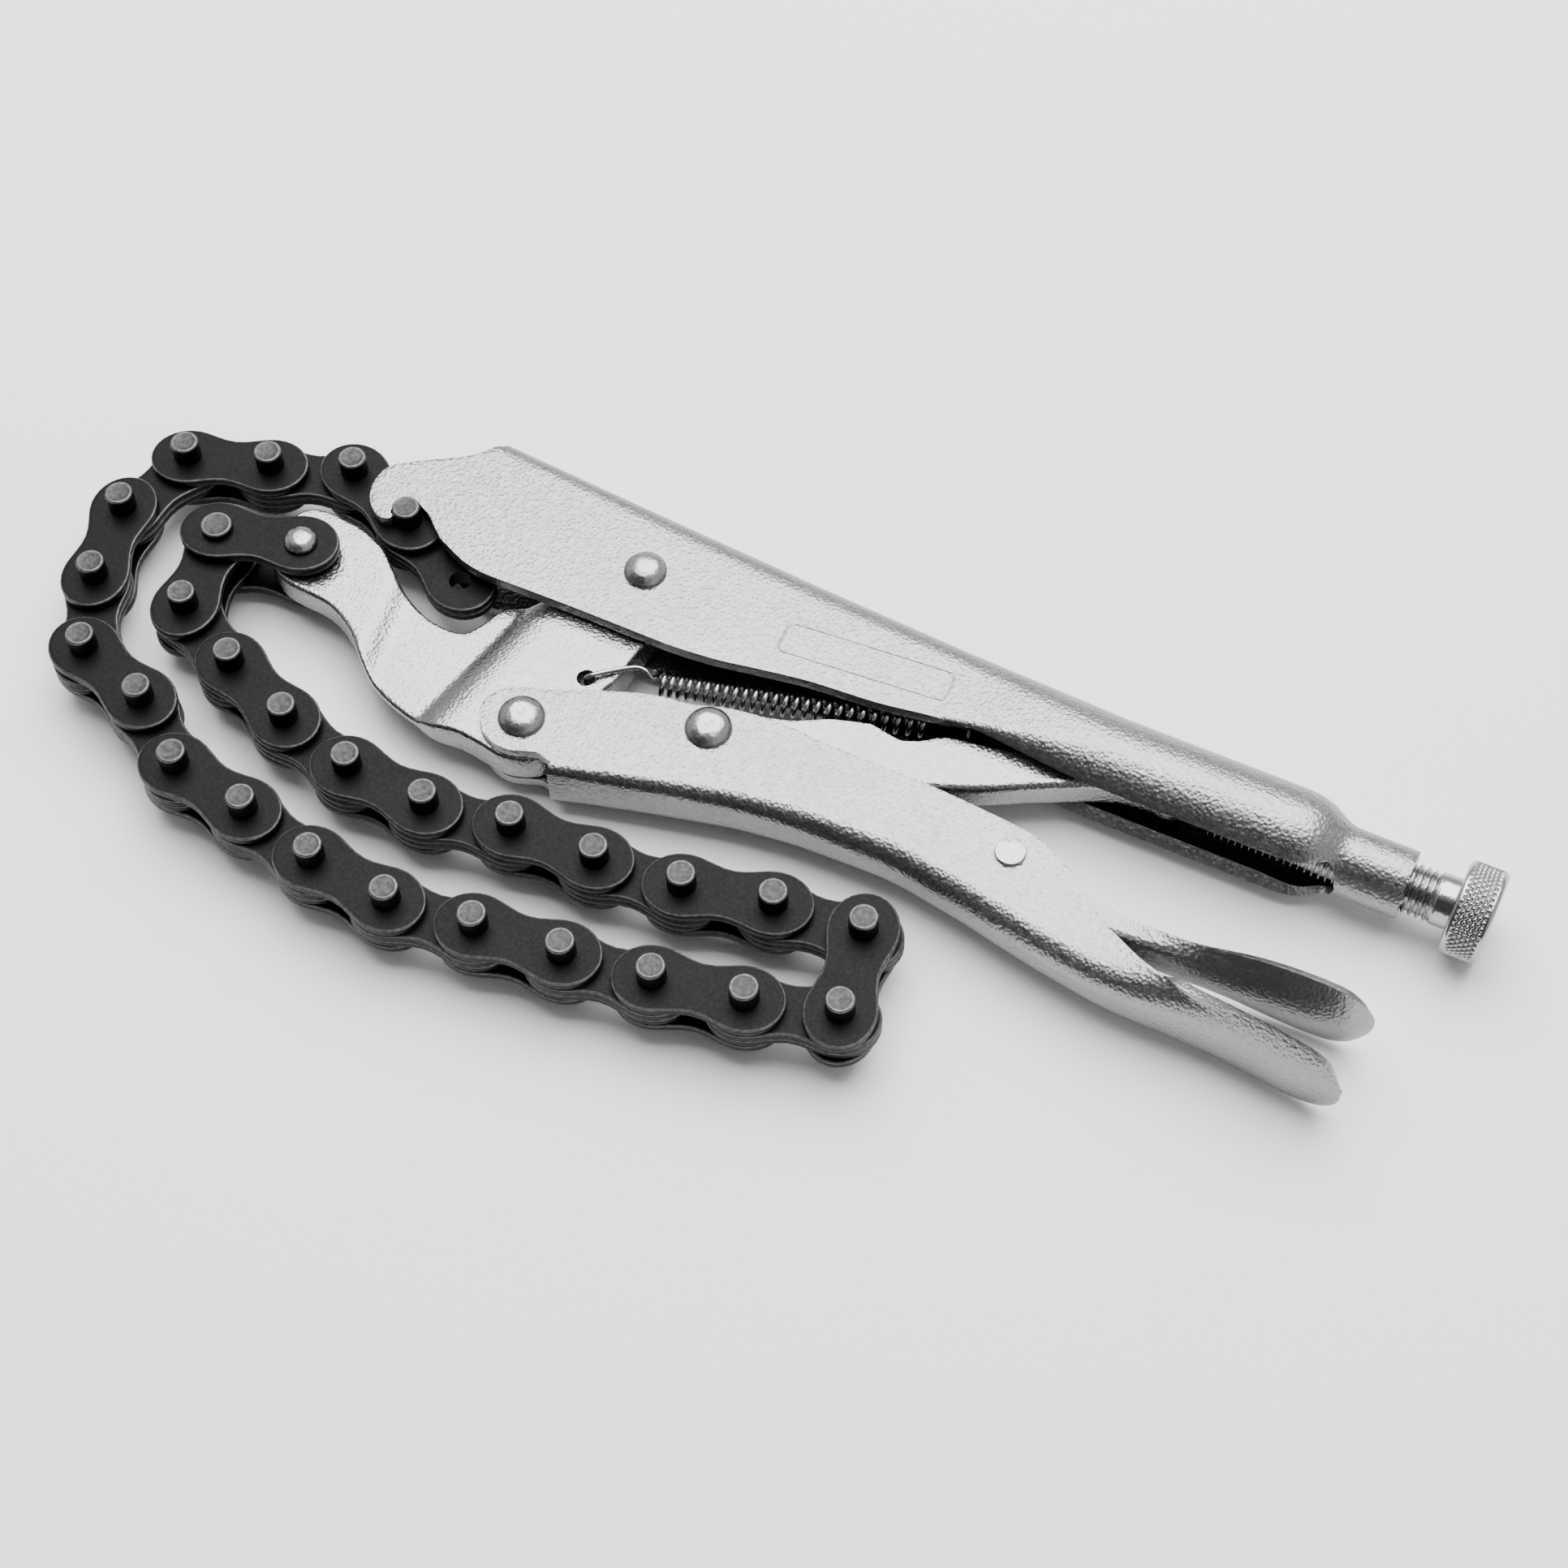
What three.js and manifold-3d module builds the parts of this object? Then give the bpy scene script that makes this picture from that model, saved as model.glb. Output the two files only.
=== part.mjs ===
// Chain clamp: locking pliers whose jaw carries a length of leaf chain, lying flat on one side.
// Frame while building, in millimetres: the jaw pivot is the origin, +X runs along the adjusting
// screw towards its knob, +Y towards the spine of the upper handle and +Z up, square to the tool.
// Everything is alike above and below the mid-plane z = 0.
import * as THREE from 'three';
import { mergeVertices } from 'three/addons/utils/BufferGeometryUtils.js';
import Module from 'manifold-3d';

const wasm = await Module();
wasm.setup();

// Gaps shared by all pieces
const FIT_GAP = 0.3; // between pieces that touch, and round each pin
const OVERRUN = 5; // how far a cut runs past what it cuts

// Facets
const ARC_STEPS = 3; // facets in a quarter round of a section
const PIN_SIDES = 8;
const RIVET_SIDES = 16;
const SCREW_SIDES = 20;

// Pivots, measured from the jaw pivot
const HANDLE_PIVOT_BACK = 5.4; // jaw to lower handle, towards the nose
const HANDLE_PIVOT_DROP = 36.7;
const LINK_PIVOT_REACH = 25.1; // lower handle to toggle link
const LINK_PIVOT_DROP = 24.9;
const LEVER_PIVOT_REACH = 82.4;
const LEVER_PIVOT_DROP = 25.7;
const LINK_END_REACH = 102; // the toggle link's end, on the screw's axis
const CHAIN_PIVOT_REACH = 59.8; // the chain's first rivet, on the jaw's tongue
const CHAIN_PIVOT_DROP = 20.6;

// Chain: plates with a 5/8 inch pitch
const CHAIN_PITCH = 15.875;
const PLATE_HALF = 6.2; // half the width of a plate at its pins
const PLATE_WAIST_HALF = 4.7;
const PLATE_END_REACH = 7; // past the pin's centre
const INNER_HALF = 1.65; // both inner plates lie face to face
const OUTER_THICK = 1.7;
const FIRST_THICK = 2; // the first link's heavier plates
const PIN_RADIUS = 2.54;
const PIN_HALF = 7.8;
const FIRST_PIN_RADIUS = 2.87;
const FIRST_PIN_STAND = 1.5; // what stands out of the first link's plate
const END_HOLE_RADIUS = 2.4;
// Heading of each link in degrees, from the jaw round the loop to the hooked end
const LINK_HEADINGS = [
  -166, -81.5, -27, -22, -15, -3.5, 9, 1.5, 5.5, 12.5, 7, -79, -163, -169, -172,
  -174, -173, 174, 167.5, 170, 145, 161.5, 116.5, 104, 73.5, 17, 20, -21.5, -25,
];
const HOOKED_PIN = LINK_HEADINGS.length - 1; // the pin that lies in the nose's notch

// Jaw: one forging with a tongue for the chain, a thin waist and a thick body
const TONGUE_HALF = 2.9;
const WAIST_HALF = 1.5;
const BODY_HALF = 3.2;
const TONGUE_LENGTH = 22.4; // from its tip to the valley at the waist
const TONGUE_CLEARANCE = 0.5; // between the tongue's back and the hooked link
const JAW_RIM = 7.3; // metal round the handle pivot
const JAW_BOSS_RADIUS = 9.5;
const JAW_SLOPE = 2.5; // width of the slopes between thick and thin
const SPRING_HOLE_RADIUS = 1.8;
const SPRING_HOLE_DROP = 23.3;

// Upper handle: a pressed channel that closes to a C-shaped tube and necks down to the screw
const UPPER_SHEET = 2.3;
const UPPER_HALF = 6.3;
const SPINE_RISE = 16.8; // above the jaw pivot at the nose end of the spine
const SPINE_START = 38; // where the spine begins, ahead of the jaw pivot
const SPINE_ROUND_SHARE = 0.62; // rounding of the spine's edges at the nose, of the half width
const PIVOT_ROUND_SHARE = 0.87; // and at the jaw pivot
const CHEEK_DROP = 12.6; // lower edge of the cheeks at the jaw pivot
const CHANNEL_END = 60; // where the channel starts to swell into the tube
const TUBE_RADIUS = 9.3;
const TUBE_LIFT = 0.2; // the tube's centre above the screw's axis
const TUBE_START = 90;
const TUBE_SLOT_HALF = 5.3;
const HANDLE_REACH = 144.6; // the collar's end face
const COLLAR_LENGTH = 10.6;
const COLLAR_RADIUS = 6.1;
const COLLAR_ROUND = 0.6;
const NECK_LENGTH = 7; // from the tube down to the collar
const NOSE_AHEAD = 8.9; // nose tip ahead of the hooked pin
const NOTCH_CLEARANCE = 0.35; // round the hooked pin
const NOTCH_LENGTH = 4.6;
const NOTCH_STEEP_HEADING = -59.5; // degrees
const NOTCH_SLANT_HEADING = -39;
const TAB_THICK = 1.5; // the spring's tab inside the spine
const TAB_WIDTH = 3.4;
const TAB_REACH = 65;
const TAB_HOLE_RADIUS = 0.95;

// Lower handle: a channel that opens towards the upper handle
const LOWER_SHEET = 1.9;
const LOWER_HALF = 5.45;
const LOWER_TAIL_HALF = 8.5;
const LOWER_REACH = 147.6;
const LOWER_EYE_RADIUS = 7.1; // cheeks round the handle pivot
const LOWER_WEB_START = 3.5;

// Toggle link
const LINK_HALF = 3.25;
const LINK_SHEET = 1.5;
const LINK_EYE_RADIUS = 5.4;
const LINK_END_RADIUS = 4;

// Release lever
const LEVER_SHEET = 1.5;
const LEVER_HALF = 3.2;
const LEVER_TAIL_HALF = 8.8;

// Adjusting screw and knob
const SCREW_RADIUS = 4.6;
const SCREW_TIP_GAP = 1.9; // play between the link's end and the screw's tip
const SCREW_TIP_ROUND = 1.5;
const KNOB_STAND = 8.3; // from the collar's end face to the knob
const KNOB_LENGTH = 6.9;
const KNOB_RADIUS = 8.3;
const KNOB_CHAMFER = 0.9;
const KNOB_SEAT_RADIUS = 3.2; // the screw's spigot inside the knob

// Rivets and pins
const JAW_RIVET_RADIUS = 3;
const JAW_RIVET_HEAD_RADIUS = 3.9;
const HANDLE_RIVET_RADIUS = 3;
const HANDLE_RIVET_HEAD_RADIUS = 4.2;
const DOME_HEIGHT = 2.4;
const LEVER_PIN_RADIUS = 2;
const LEVER_PIN_HEAD_RADIUS = 2.7;
const LEVER_PIN_HEAD_HEIGHT = 0.5;
const CHAIN_RIVET_RADIUS = 2.5;
const CHAIN_RIVET_HEAD_RADIUS = 3.05;
const CHAIN_RIVET_HEAD_HEIGHT = 1.9;

// Return spring
const SPRING_WIRE_RADIUS = 0.45;
const SPRING_RADIUS = 2.05; // to the wire's centre
const SPRING_CURLS = 26;
const SPRING_FRONT_REACH = 10.8;
const SPRING_FRONT_DROP = 17.3;
const SPRING_REAR_REACH = 57.5;
const SPRING_REAR_DROP = 4.9;
const CURL_STEPS = 8;
const WIRE_SIDES = 5;
const CLOSE_PITCH_SHARE = 0.8; // pitch at the jaw's end, of the mean pitch

// Heights that follow from the sizes above
const OUTER_INSIDE = INNER_HALF + FIT_GAP;
const OUTER_OUTSIDE = OUTER_INSIDE + OUTER_THICK;
const FIRST_INSIDE = OUTER_OUTSIDE + FIT_GAP;
const FIRST_OUTSIDE = FIRST_INSIDE + FIRST_THICK;
const UPPER_INSIDE = UPPER_HALF - UPPER_SHEET;
const LOWER_INSIDE = LOWER_HALF - LOWER_SHEET;

// Places along the screw's axis that follow from the handle's end
const COLLAR_START = HANDLE_REACH - COLLAR_LENGTH;
const NECK_START = COLLAR_START - NECK_LENGTH;
const KNOB_START = HANDLE_REACH + KNOB_STAND;

// Places in plan
const JAW_PIVOT = new THREE.Vector2(0, 0);
const HANDLE_PIVOT = new THREE.Vector2(-HANDLE_PIVOT_BACK, -HANDLE_PIVOT_DROP);
const LINK_PIVOT = new THREE.Vector2(LINK_PIVOT_REACH, -LINK_PIVOT_DROP);
const LEVER_PIVOT = new THREE.Vector2(LEVER_PIVOT_REACH, -LEVER_PIVOT_DROP);
const LINK_END = new THREE.Vector2(LINK_END_REACH, 0);
const CHAIN_PIVOT = new THREE.Vector2(-CHAIN_PIVOT_REACH, -CHAIN_PIVOT_DROP);
const SPRING_FRONT = new THREE.Vector2(SPRING_FRONT_REACH, -SPRING_FRONT_DROP);
const SPRING_REAR = new THREE.Vector2(SPRING_REAR_REACH, -SPRING_REAR_DROP);
const SPRING_HOLE = new THREE.Vector2(0, -SPRING_HOLE_DROP);
const SPRING_SLOPE = (SPRING_FRONT_DROP - SPRING_REAR_DROP) / (SPRING_REAR_REACH - SPRING_FRONT_REACH);
const SPRING_TAB = new THREE.Vector2(
  TAB_REACH,
  SPRING_SLOPE * (TAB_REACH - SPRING_FRONT_REACH) - SPRING_FRONT_DROP,
);

const heading = (degrees) => {
  const angle = THREE.MathUtils.degToRad(degrees);
  return new THREE.Vector2(Math.cos(angle), Math.sin(angle));
};

// Pin centres along the chain, one more than there are links
const CHAIN_PINS = [CHAIN_PIVOT];
for (const degrees of LINK_HEADINGS) {
  const last = CHAIN_PINS[CHAIN_PINS.length - 1];
  CHAIN_PINS.push(heading(degrees).multiplyScalar(CHAIN_PITCH).add(last));
}
const HOOK = CHAIN_PINS[HOOKED_PIN];

const STEEL = { color: 0xd8d8d6, roughness: 0.38, metalness: 0.9 };
const RIVET_STEEL = { color: 0xe6e6e4, roughness: 0.3, metalness: 0.9 };
const BLACK_OXIDE = { color: 0x2d2d2d, roughness: 0.5, metalness: 0.6 };
const SPRING_STEEL = { color: 0xb8b8b8, roughness: 0.35, metalness: 0.9 };

const { lerp } = THREE.MathUtils;

// Solids

/** Drops triangles that fold to a line, and turns the rest outwards. */
function outward(positions, triangles) {
  const kept = [];
  let volume = 0;
  const corner = (i) => new THREE.Vector3().fromArray(positions, 3 * i);
  for (let i = 0; i < triangles.length; i += 3) {
    const [a, b, c] = triangles.slice(i, i + 3);
    if (a === b || b === c || c === a) continue;
    kept.push(a, b, c);
    volume += corner(a).dot(corner(b).cross(corner(c)));
  }
  if (volume < 0) kept.reverse();
  return Uint32Array.from(kept);
}

function toSolid(geometry) {
  const bare = geometry.clone();
  bare.deleteAttribute('normal');
  bare.deleteAttribute('uv');
  const merged = mergeVertices(bare);
  const vertProperties = Float32Array.from(merged.attributes.position.array);
  const triVerts = outward(vertProperties, Array.from(merged.index.array));
  return new wasm.Manifold(new wasm.Mesh({ numProp: 3, vertProperties, triVerts }));
}

function toGeometry(solid) {
  const { vertProperties, triVerts } = solid.getMesh();
  const geometry = new THREE.BufferGeometry();
  geometry.setAttribute('position', new THREE.BufferAttribute(vertProperties, 3));
  geometry.setIndex(new THREE.BufferAttribute(triVerts, 1));
  geometry.computeVertexNormals();
  return geometry;
}

/** Plan outline, raised between two heights. */
function prism(points, low, high) {
  const shape = new THREE.Shape(points);
  const options = { depth: high - low, bevelEnabled: false };
  return toSolid(new THREE.ExtrudeGeometry(shape, options).translate(0, 0, low));
}

/** Plan outline, raised alike above and below the mid-plane. */
const slab = (points, half) => prism(points, -half, half);

/** Upright round bar about a place in plan, alike above and below the mid-plane. */
function bar(place, radius, half, sides) {
  const geometry = new THREE.CylinderGeometry(radius, radius, 2 * half, sides);
  return toSolid(geometry.rotateX(Math.PI / 2).translate(place.x, place.y, 0));
}

/** Round hole whose flats, not only its corners, clear a pin. */
function hole(place, radius, half, sides) {
  return bar(place, radius / Math.cos(Math.PI / sides), half + OVERRUN, sides);
}

/** Body turned about X from a profile of [along, radius] pairs. */
function turnedAlongX(profile, sides) {
  const points = profile.map(([along, radius]) => new THREE.Vector2(radius, along));
  return toSolid(new THREE.LatheGeometry(points, sides).rotateZ(-Math.PI / 2));
}

/** Solid with a skin through matching rings, closed at both ends by the given triangles. */
function ringSolid(rings, ends, caps) {
  const count = rings[0].length;
  const positions = [...rings.flat(), ...ends].flatMap((point) => point.toArray());
  const triangles = [...caps];
  for (let ring = 0; ring < rings.length - 1; ring += 1) {
    for (let i = 0; i < count; i += 1) {
      const a = ring * count + i;
      const b = ring * count + ((i + 1) % count);
      triangles.push(a, b, b + count, a, b + count, a + count);
    }
  }
  const geometry = new THREE.BufferGeometry();
  geometry.setAttribute('position', new THREE.Float32BufferAttribute(positions, 3));
  geometry.setIndex(triangles);
  return toSolid(geometry);
}

/** Skin through matching rings, closed at both ends by fans about the given centres. */
function loft(rings, centres) {
  const count = rings[0].length;
  const lastRing = (rings.length - 1) * count;
  const firstCentre = rings.length * count;
  const caps = rings[0].flatMap((_, i) => {
    const next = (i + 1) % count;
    return [firstCentre, next, i, firstCentre + 1, lastRing + i, lastRing + next];
  });
  return ringSolid(rings, centres, caps);
}

/** Quarter round of a section from angle to angle, as [z, y] pairs. */
function quarter(centreZ, centreY, radius, from, to) {
  const points = [];
  for (let i = 0; i <= ARC_STEPS; i += 1) {
    const angle = from + ((to - from) * i) / ARC_STEPS;
    points.push([centreZ + radius * Math.cos(angle), centreY + radius * Math.sin(angle)]);
  }
  return points;
}

/**
 * Section of a channel or tube at one place along X: a rounded box from bottom to top.
 * With a slot, the side y = mouth is open between the slot's walls.
 */
function sectionRing({ x, half, top, bottom, topRound, bottomRound }, slot) {
  const above = Math.min(topRound, half);
  const below = Math.min(bottomRound, half);
  const upper = quarter(half - above, top - above, above, Math.PI / 2, 0);
  const right = [[0, top], ...upper];
  if (slot) {
    const share = THREE.MathUtils.clamp((slot.half - half + below) / below, -1, 1);
    right.push(...quarter(half - below, bottom + below, below, 0, -Math.acos(share)));
    right.push([slot.half, slot.mouth]);
  } else {
    right.push(...quarter(half - below, bottom + below, below, 0, -Math.PI / 2));
    right.push([0, bottom]);
  }
  const left = right
    .slice(1, slot ? undefined : -1)
    .reverse()
    .map(([z, y]) => [-z, y]);
  return [...right, ...left].map(([z, y]) => new THREE.Vector3(x, y, z));
}

/** Body through sections along X; up is -1 where its mouth is towards +Y. */
function sectionLoft(stations, slots = null, up = 1) {
  const face = new THREE.Vector3(1, up, 1);
  const rings = stations.map((station, i) =>
    sectionRing(station, slots && slots[i]).map((point) => point.multiply(face)),
  );
  const ends = [stations[0], stations[stations.length - 1]];
  const centres = ends.map(({ x, top, half }) => new THREE.Vector3(x, up * (top - half), 0));
  return loft(rings, centres);
}

/**
 * Half of a pressed sheet's outside section, from its crown to its lip, as [z, y] pairs.
 * It is a channel that opens into a shallow arc as its flatness grows to 1.
 */
function halfSection({ half, back, lip, rounding, flatness }) {
  const round = Math.min(rounding, half);
  const corner = quarter(half - round, back - round, round, Math.PI / 2, 0);
  const channel = [[0, back], ...corner, [half, lip]];
  return channel.map(([z, y], i) => {
    const share = i / (channel.length - 1);
    const arcHeight = lerp(back, lip, share ** 2);
    return [lerp(z, half * share, flatness), lerp(y, arcHeight, flatness)];
  });
}

/** The inside of a sheet's section, one sheet in from its outside. */
function insideSection({ half, back, lip, rounding, flatness }, sheet) {
  return halfSection({
    half: Math.max(half - lerp(sheet, sheet / 2, flatness), half / 3),
    back: back - sheet,
    lip: lip - sheet * flatness,
    rounding: Math.max(rounding - sheet, FIT_GAP),
    flatness,
  });
}

/** Pressed sheet with its mouth upward, through sections along X. */
function sheetLoft(stations, sheet) {
  const whole = (points) => {
    const mirrored = points.slice(1).map(([z, y]) => [-z, y]);
    return [...mirrored.reverse(), ...points];
  };
  const rings = stations.map((station) => {
    const ring = [...whole(halfSection(station)), ...whole(insideSection(station, sheet)).reverse()];
    return ring.map(([z, y]) => new THREE.Vector3(station.x, -y, z));
  });
  const count = rings[0].length;
  const last = (rings.length - 1) * count;
  const caps = [];
  for (let i = 0; i < count / 2 - 1; i += 1) {
    const inner = count - 1 - i;
    caps.push(i + 1, i, inner, i + 1, inner, inner - 1);
    caps.push(last + i, last + i + 1, last + inner - 1, last + i, last + inner - 1, last + inner);
  }
  return ringSolid(rings, [], caps);
}

const disc = (place, radius, sides) => {
  const points = [];
  for (let i = 0; i < sides; i += 1) {
    const angle = (2 * Math.PI * i) / sides;
    points.push(new THREE.Vector2(Math.cos(angle), Math.sin(angle)).multiplyScalar(radius).add(place));
  }
  return points;
};

/** Points given as shares of a length along X and a height along Y, from a place. */
const outline = (shares, length, height, place = JAW_PIVOT) =>
  shares.map(([x, y]) => new THREE.Vector2(place.x + x * length, place.y + y * height));

const parts = new THREE.Group();

function addPart(name, solid, look) {
  const mesh = new THREE.Mesh(toGeometry(solid), new THREE.MeshStandardMaterial(look));
  mesh.name = name;
  parts.add(mesh);
}

// Chain

/** Figure-eight plate between two pins, as a plan outline. */
function plateOutline(start, end) {
  const along = end.clone().sub(start).normalize();
  const across = new THREE.Vector2(-along.y, along.x);
  const middle = start.clone().add(end).multiplyScalar(1 / 2);
  const turns = [1, 0.7, 0.35, 0, -0.35, -0.7, -1];
  const rounded = (pin, direction) =>
    turns.map((turn) => {
      const angle = (turn * direction * Math.PI) / 2;
      const reach = direction * PLATE_END_REACH * Math.cos(angle);
      const side = PLATE_HALF * Math.sin(angle);
      return pin.clone().addScaledVector(along, reach).addScaledVector(across, side);
    });
  const waist = (side) => middle.clone().addScaledVector(across, side * PLATE_WAIST_HALF);
  return [...rounded(end, 1), waist(-1), ...rounded(start, -1), waist(1)];
}

function platePair(start, end, inside, outside) {
  const points = plateOutline(start, end);
  return prism(points, inside, outside).add(prism(points, -outside, -inside));
}

const chainHole = (place, radius) => hole(place, radius + FIT_GAP, FIRST_OUTSIDE, PIN_SIDES);

/** First link: heavy plates over the jaw's tongue, riveted up with the pin of the next link. */
function firstLink(start, end) {
  const standing = FIRST_OUTSIDE + FIRST_PIN_STAND;
  return platePair(start, end, FIRST_INSIDE, FIRST_OUTSIDE)
    .add(bar(end, FIRST_PIN_RADIUS, standing, PIN_SIDES))
    .subtract(chainHole(start, CHAIN_RIVET_RADIUS));
}

/** Outer link: two plates riveted up with the pins that stand out of them. */
function outerLink(start, end, index) {
  let solid = platePair(start, end, OUTER_INSIDE, OUTER_OUTSIDE);
  if (index === 1) {
    solid = solid.subtract(chainHole(start, FIRST_PIN_RADIUS));
  } else {
    solid = solid.add(bar(start, PIN_RADIUS, PIN_HALF, PIN_SIDES));
  }
  return solid.add(bar(end, PIN_RADIUS, PIN_HALF, PIN_SIDES));
}

/** Inner link: two plates face to face, with a hole for each pin. */
function innerLink(start, end, index) {
  const farHole =
    index === HOOKED_PIN ? bar(end, END_HOLE_RADIUS, PIN_HALF, PIN_SIDES) : chainHole(end, PIN_RADIUS);
  return slab(plateOutline(start, end), INNER_HALF)
    .subtract(chainHole(start, PIN_RADIUS))
    .subtract(farHole);
}

LINK_HEADINGS.forEach((_, index) => {
  const make = index === 0 ? firstLink : index % 2 === 1 ? outerLink : innerLink;
  const number = String(index + 1).padStart(2, '0');
  addPart(`chain_link_${number}`, make(CHAIN_PINS[index], CHAIN_PINS[index + 1], index), BLACK_OXIDE);
});

// Jaw

/** Outline whose thick part slopes down to the waist's height all round its edge. */
function slopedSlab(points, half) {
  const middle = points.reduce((sum, point) => sum.add(point), new THREE.Vector2());
  middle.divideScalar(points.length);
  const ring = (height, grow) =>
    points.map((point) => {
      const away = point.clone().sub(middle);
      const placed = away.setLength(away.length() + grow).add(middle);
      return new THREE.Vector3(placed.x, placed.y, height);
    });
  const foot = [ring(-WAIST_HALF, JAW_SLOPE), ring(WAIST_HALF, JAW_SLOPE)];
  const centres = [-half, half].map((height) => new THREE.Vector3(middle.x, middle.y, height));
  return loft([ring(-half, 0), ...foot, ring(half, 0)], centres);
}

/** Back of the tongue under the hooked link, from shares of its length and of its clearance. */
function tongueBack() {
  const along = heading(LINK_HEADINGS[HOOKED_PIN - 1]);
  const below = new THREE.Vector2(along.y, -along.x);
  const shares = [[0.07, 1.02], [-0.25, 1], [-0.52, 1.14]];
  return shares.map(([reach, away]) =>
    HOOK.clone()
      .addScaledVector(along, reach * CHAIN_PITCH)
      .addScaledVector(below, away * (PLATE_HALF + TONGUE_CLEARANCE)),
  );
}

function jawProfile() {
  const tipShares = [
    [-0.02, 0.455], [-0.18, 0.43], [-0.268, 0.308], [-0.299, 0.03], [-0.232, -0.152],
    [0.02, -0.312], [0.442, -0.357], [0.723, -0.5],
  ];
  const bellyShares = [[-0.58, -1.071], [-0.475, -1.139], [-0.355, -1.185], [-0.258, -1.155]];
  const edgeShares = [
    [-0.1, -1.18], [0.05, -1.09], [0.065, -0.67], [0.085, -0.57], [0.1, -0.3], [0.15, -0.1],
  ];
  const throatShares = [
    [-0.15, -0.14], [-0.28, -0.327], [-0.366, -0.414], [-0.4, -0.56], [-0.425, -0.632],
    [-0.54, -0.62], [-0.655, -0.534], [-0.72, -0.455],
  ];
  const bodyShares = [...bellyShares, ...edgeShares, ...throatShares];
  return [
    ...outline(tipShares, TONGUE_LENGTH, TONGUE_LENGTH, CHAIN_PIVOT),
    ...outline(bodyShares, CHAIN_PIVOT_REACH, HANDLE_PIVOT_DROP),
    ...tongueBack(),
  ];
}

function jaw() {
  const profile = jawProfile();
  const eye = disc(HANDLE_PIVOT, JAW_RIM, RIVET_SIDES);
  const tongueShares = [[-0.5, 0.7], [-0.5, -0.6], [0.55, -0.72], [0.98, -0.5], [0.86, 0.14], [0.6, 0.7]];
  const bodyShares = [
    [0.35, 0.4], [-0.22, 0.4], [-0.39, -0.45], [-0.39, -0.8], [-0.31, -1.35], [0.35, -1.35],
  ];
  const tongue = outline(tongueShares, TONGUE_LENGTH, TONGUE_LENGTH, CHAIN_PIVOT);
  const body = outline(bodyShares, CHAIN_PIVOT_REACH, HANDLE_PIVOT_DROP);
  const flat = (half) => slab(profile, half).add(slab(eye, half));
  const boreHole = (place, radius) => hole(place, radius + FIT_GAP, BODY_HALF, RIVET_SIDES);
  return flat(WAIST_HALF)
    .add(flat(TONGUE_HALF).intersect(slopedSlab(tongue, TONGUE_HALF)))
    .add(flat(BODY_HALF).intersect(slopedSlab(body, BODY_HALF)))
    .add(bar(JAW_PIVOT, JAW_BOSS_RADIUS, BODY_HALF, RIVET_SIDES))
    .subtract(boreHole(JAW_PIVOT, JAW_RIVET_RADIUS))
    .subtract(boreHole(HANDLE_PIVOT, HANDLE_RIVET_RADIUS))
    .subtract(boreHole(CHAIN_PIVOT, CHAIN_RIVET_RADIUS))
    .subtract(hole(SPRING_HOLE, SPRING_HOLE_RADIUS, BODY_HALF, PIN_SIDES));
}

addPart('jaw', jaw(), STEEL);

// Upper handle

const TUBE_TOP = TUBE_LIFT + TUBE_RADIUS;
const TUBE_BOTTOM = TUBE_LIFT - TUBE_RADIUS;
const SCREW_BORE_RADIUS = SCREW_RADIUS + FIT_GAP;
const OPEN_BOTTOM = -2 * CHEEK_DROP; // where a section's mouth lies, below all cheeks

const spineAt = (x) => {
  const share = (x + SPINE_START) / (TUBE_START + SPINE_START);
  return lerp(SPINE_RISE, TUBE_TOP, share);
};

function channelStation(x, topRound) {
  const top = spineAt(x);
  return { x, half: UPPER_HALF, top, bottom: OPEN_BOTTOM, topRound, bottomRound: FIT_GAP };
}

function roundStation(x, radius) {
  const top = TUBE_LIFT + radius;
  const bottom = TUBE_LIFT - radius;
  return { x, half: radius, top, bottom, topRound: radius, bottomRound: radius };
}

/** Station between the channel and the tube: shares of the way, the curl and the tube's drop. */
function swellStation(share, curlShare, bottomShare) {
  const x = lerp(CHANNEL_END, TUBE_START, share);
  const half = lerp(UPPER_HALF, TUBE_RADIUS, share);
  const bottom = TUBE_BOTTOM * bottomShare;
  return { x, half, top: spineAt(x), bottom, topRound: half, bottomRound: half * curlShare };
}

/** Station in the neck: shares of its length and of the fall from the tube to the collar. */
function neckStation(share, fallShare) {
  const radius = lerp(TUBE_RADIUS, COLLAR_RADIUS, fallShare);
  return roundStation(lerp(NECK_START, COLLAR_START, share), radius);
}

const SWELL_SHARES = [[0.25, 0.2, 0.615], [0.5, 0.5, 0.71], [0.75, 0.75, 0.94]];
const NECK_SHARES = [[0, 0], [0.3, 0.16], [0.5, 0.42], [0.7, 0.75], [0.88, 0.96]];
const swell = SWELL_SHARES.map((shares) => swellStation(...shares));
const handleStations = [
  channelStation(-2 * SPINE_START, UPPER_HALF * SPINE_ROUND_SHARE),
  channelStation(-SPINE_START, UPPER_HALF * SPINE_ROUND_SHARE),
  channelStation(0, UPPER_HALF * PIVOT_ROUND_SHARE),
  channelStation(CHANNEL_END / 2, UPPER_HALF),
  channelStation(CHANNEL_END, UPPER_HALF),
  ...swell,
  roundStation(TUBE_START, TUBE_RADIUS),
  ...NECK_SHARES.map((shares) => neckStation(...shares)),
];
const collarStations = [
  roundStation(COLLAR_START, COLLAR_RADIUS),
  roundStation(HANDLE_REACH - COLLAR_ROUND, COLLAR_RADIUS),
  roundStation(HANDLE_REACH, COLLAR_RADIUS - COLLAR_ROUND),
];
// Half widths of the slot under the upper handle, as shares of the tube's slot
const SLOT_SHARES = [0.75, 0.75, 0.75, 0.75, 0.75, 0.8, 0.87, 0.93, 1, 1, 0.98, 0.86, 0.58, 0.1];

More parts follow.
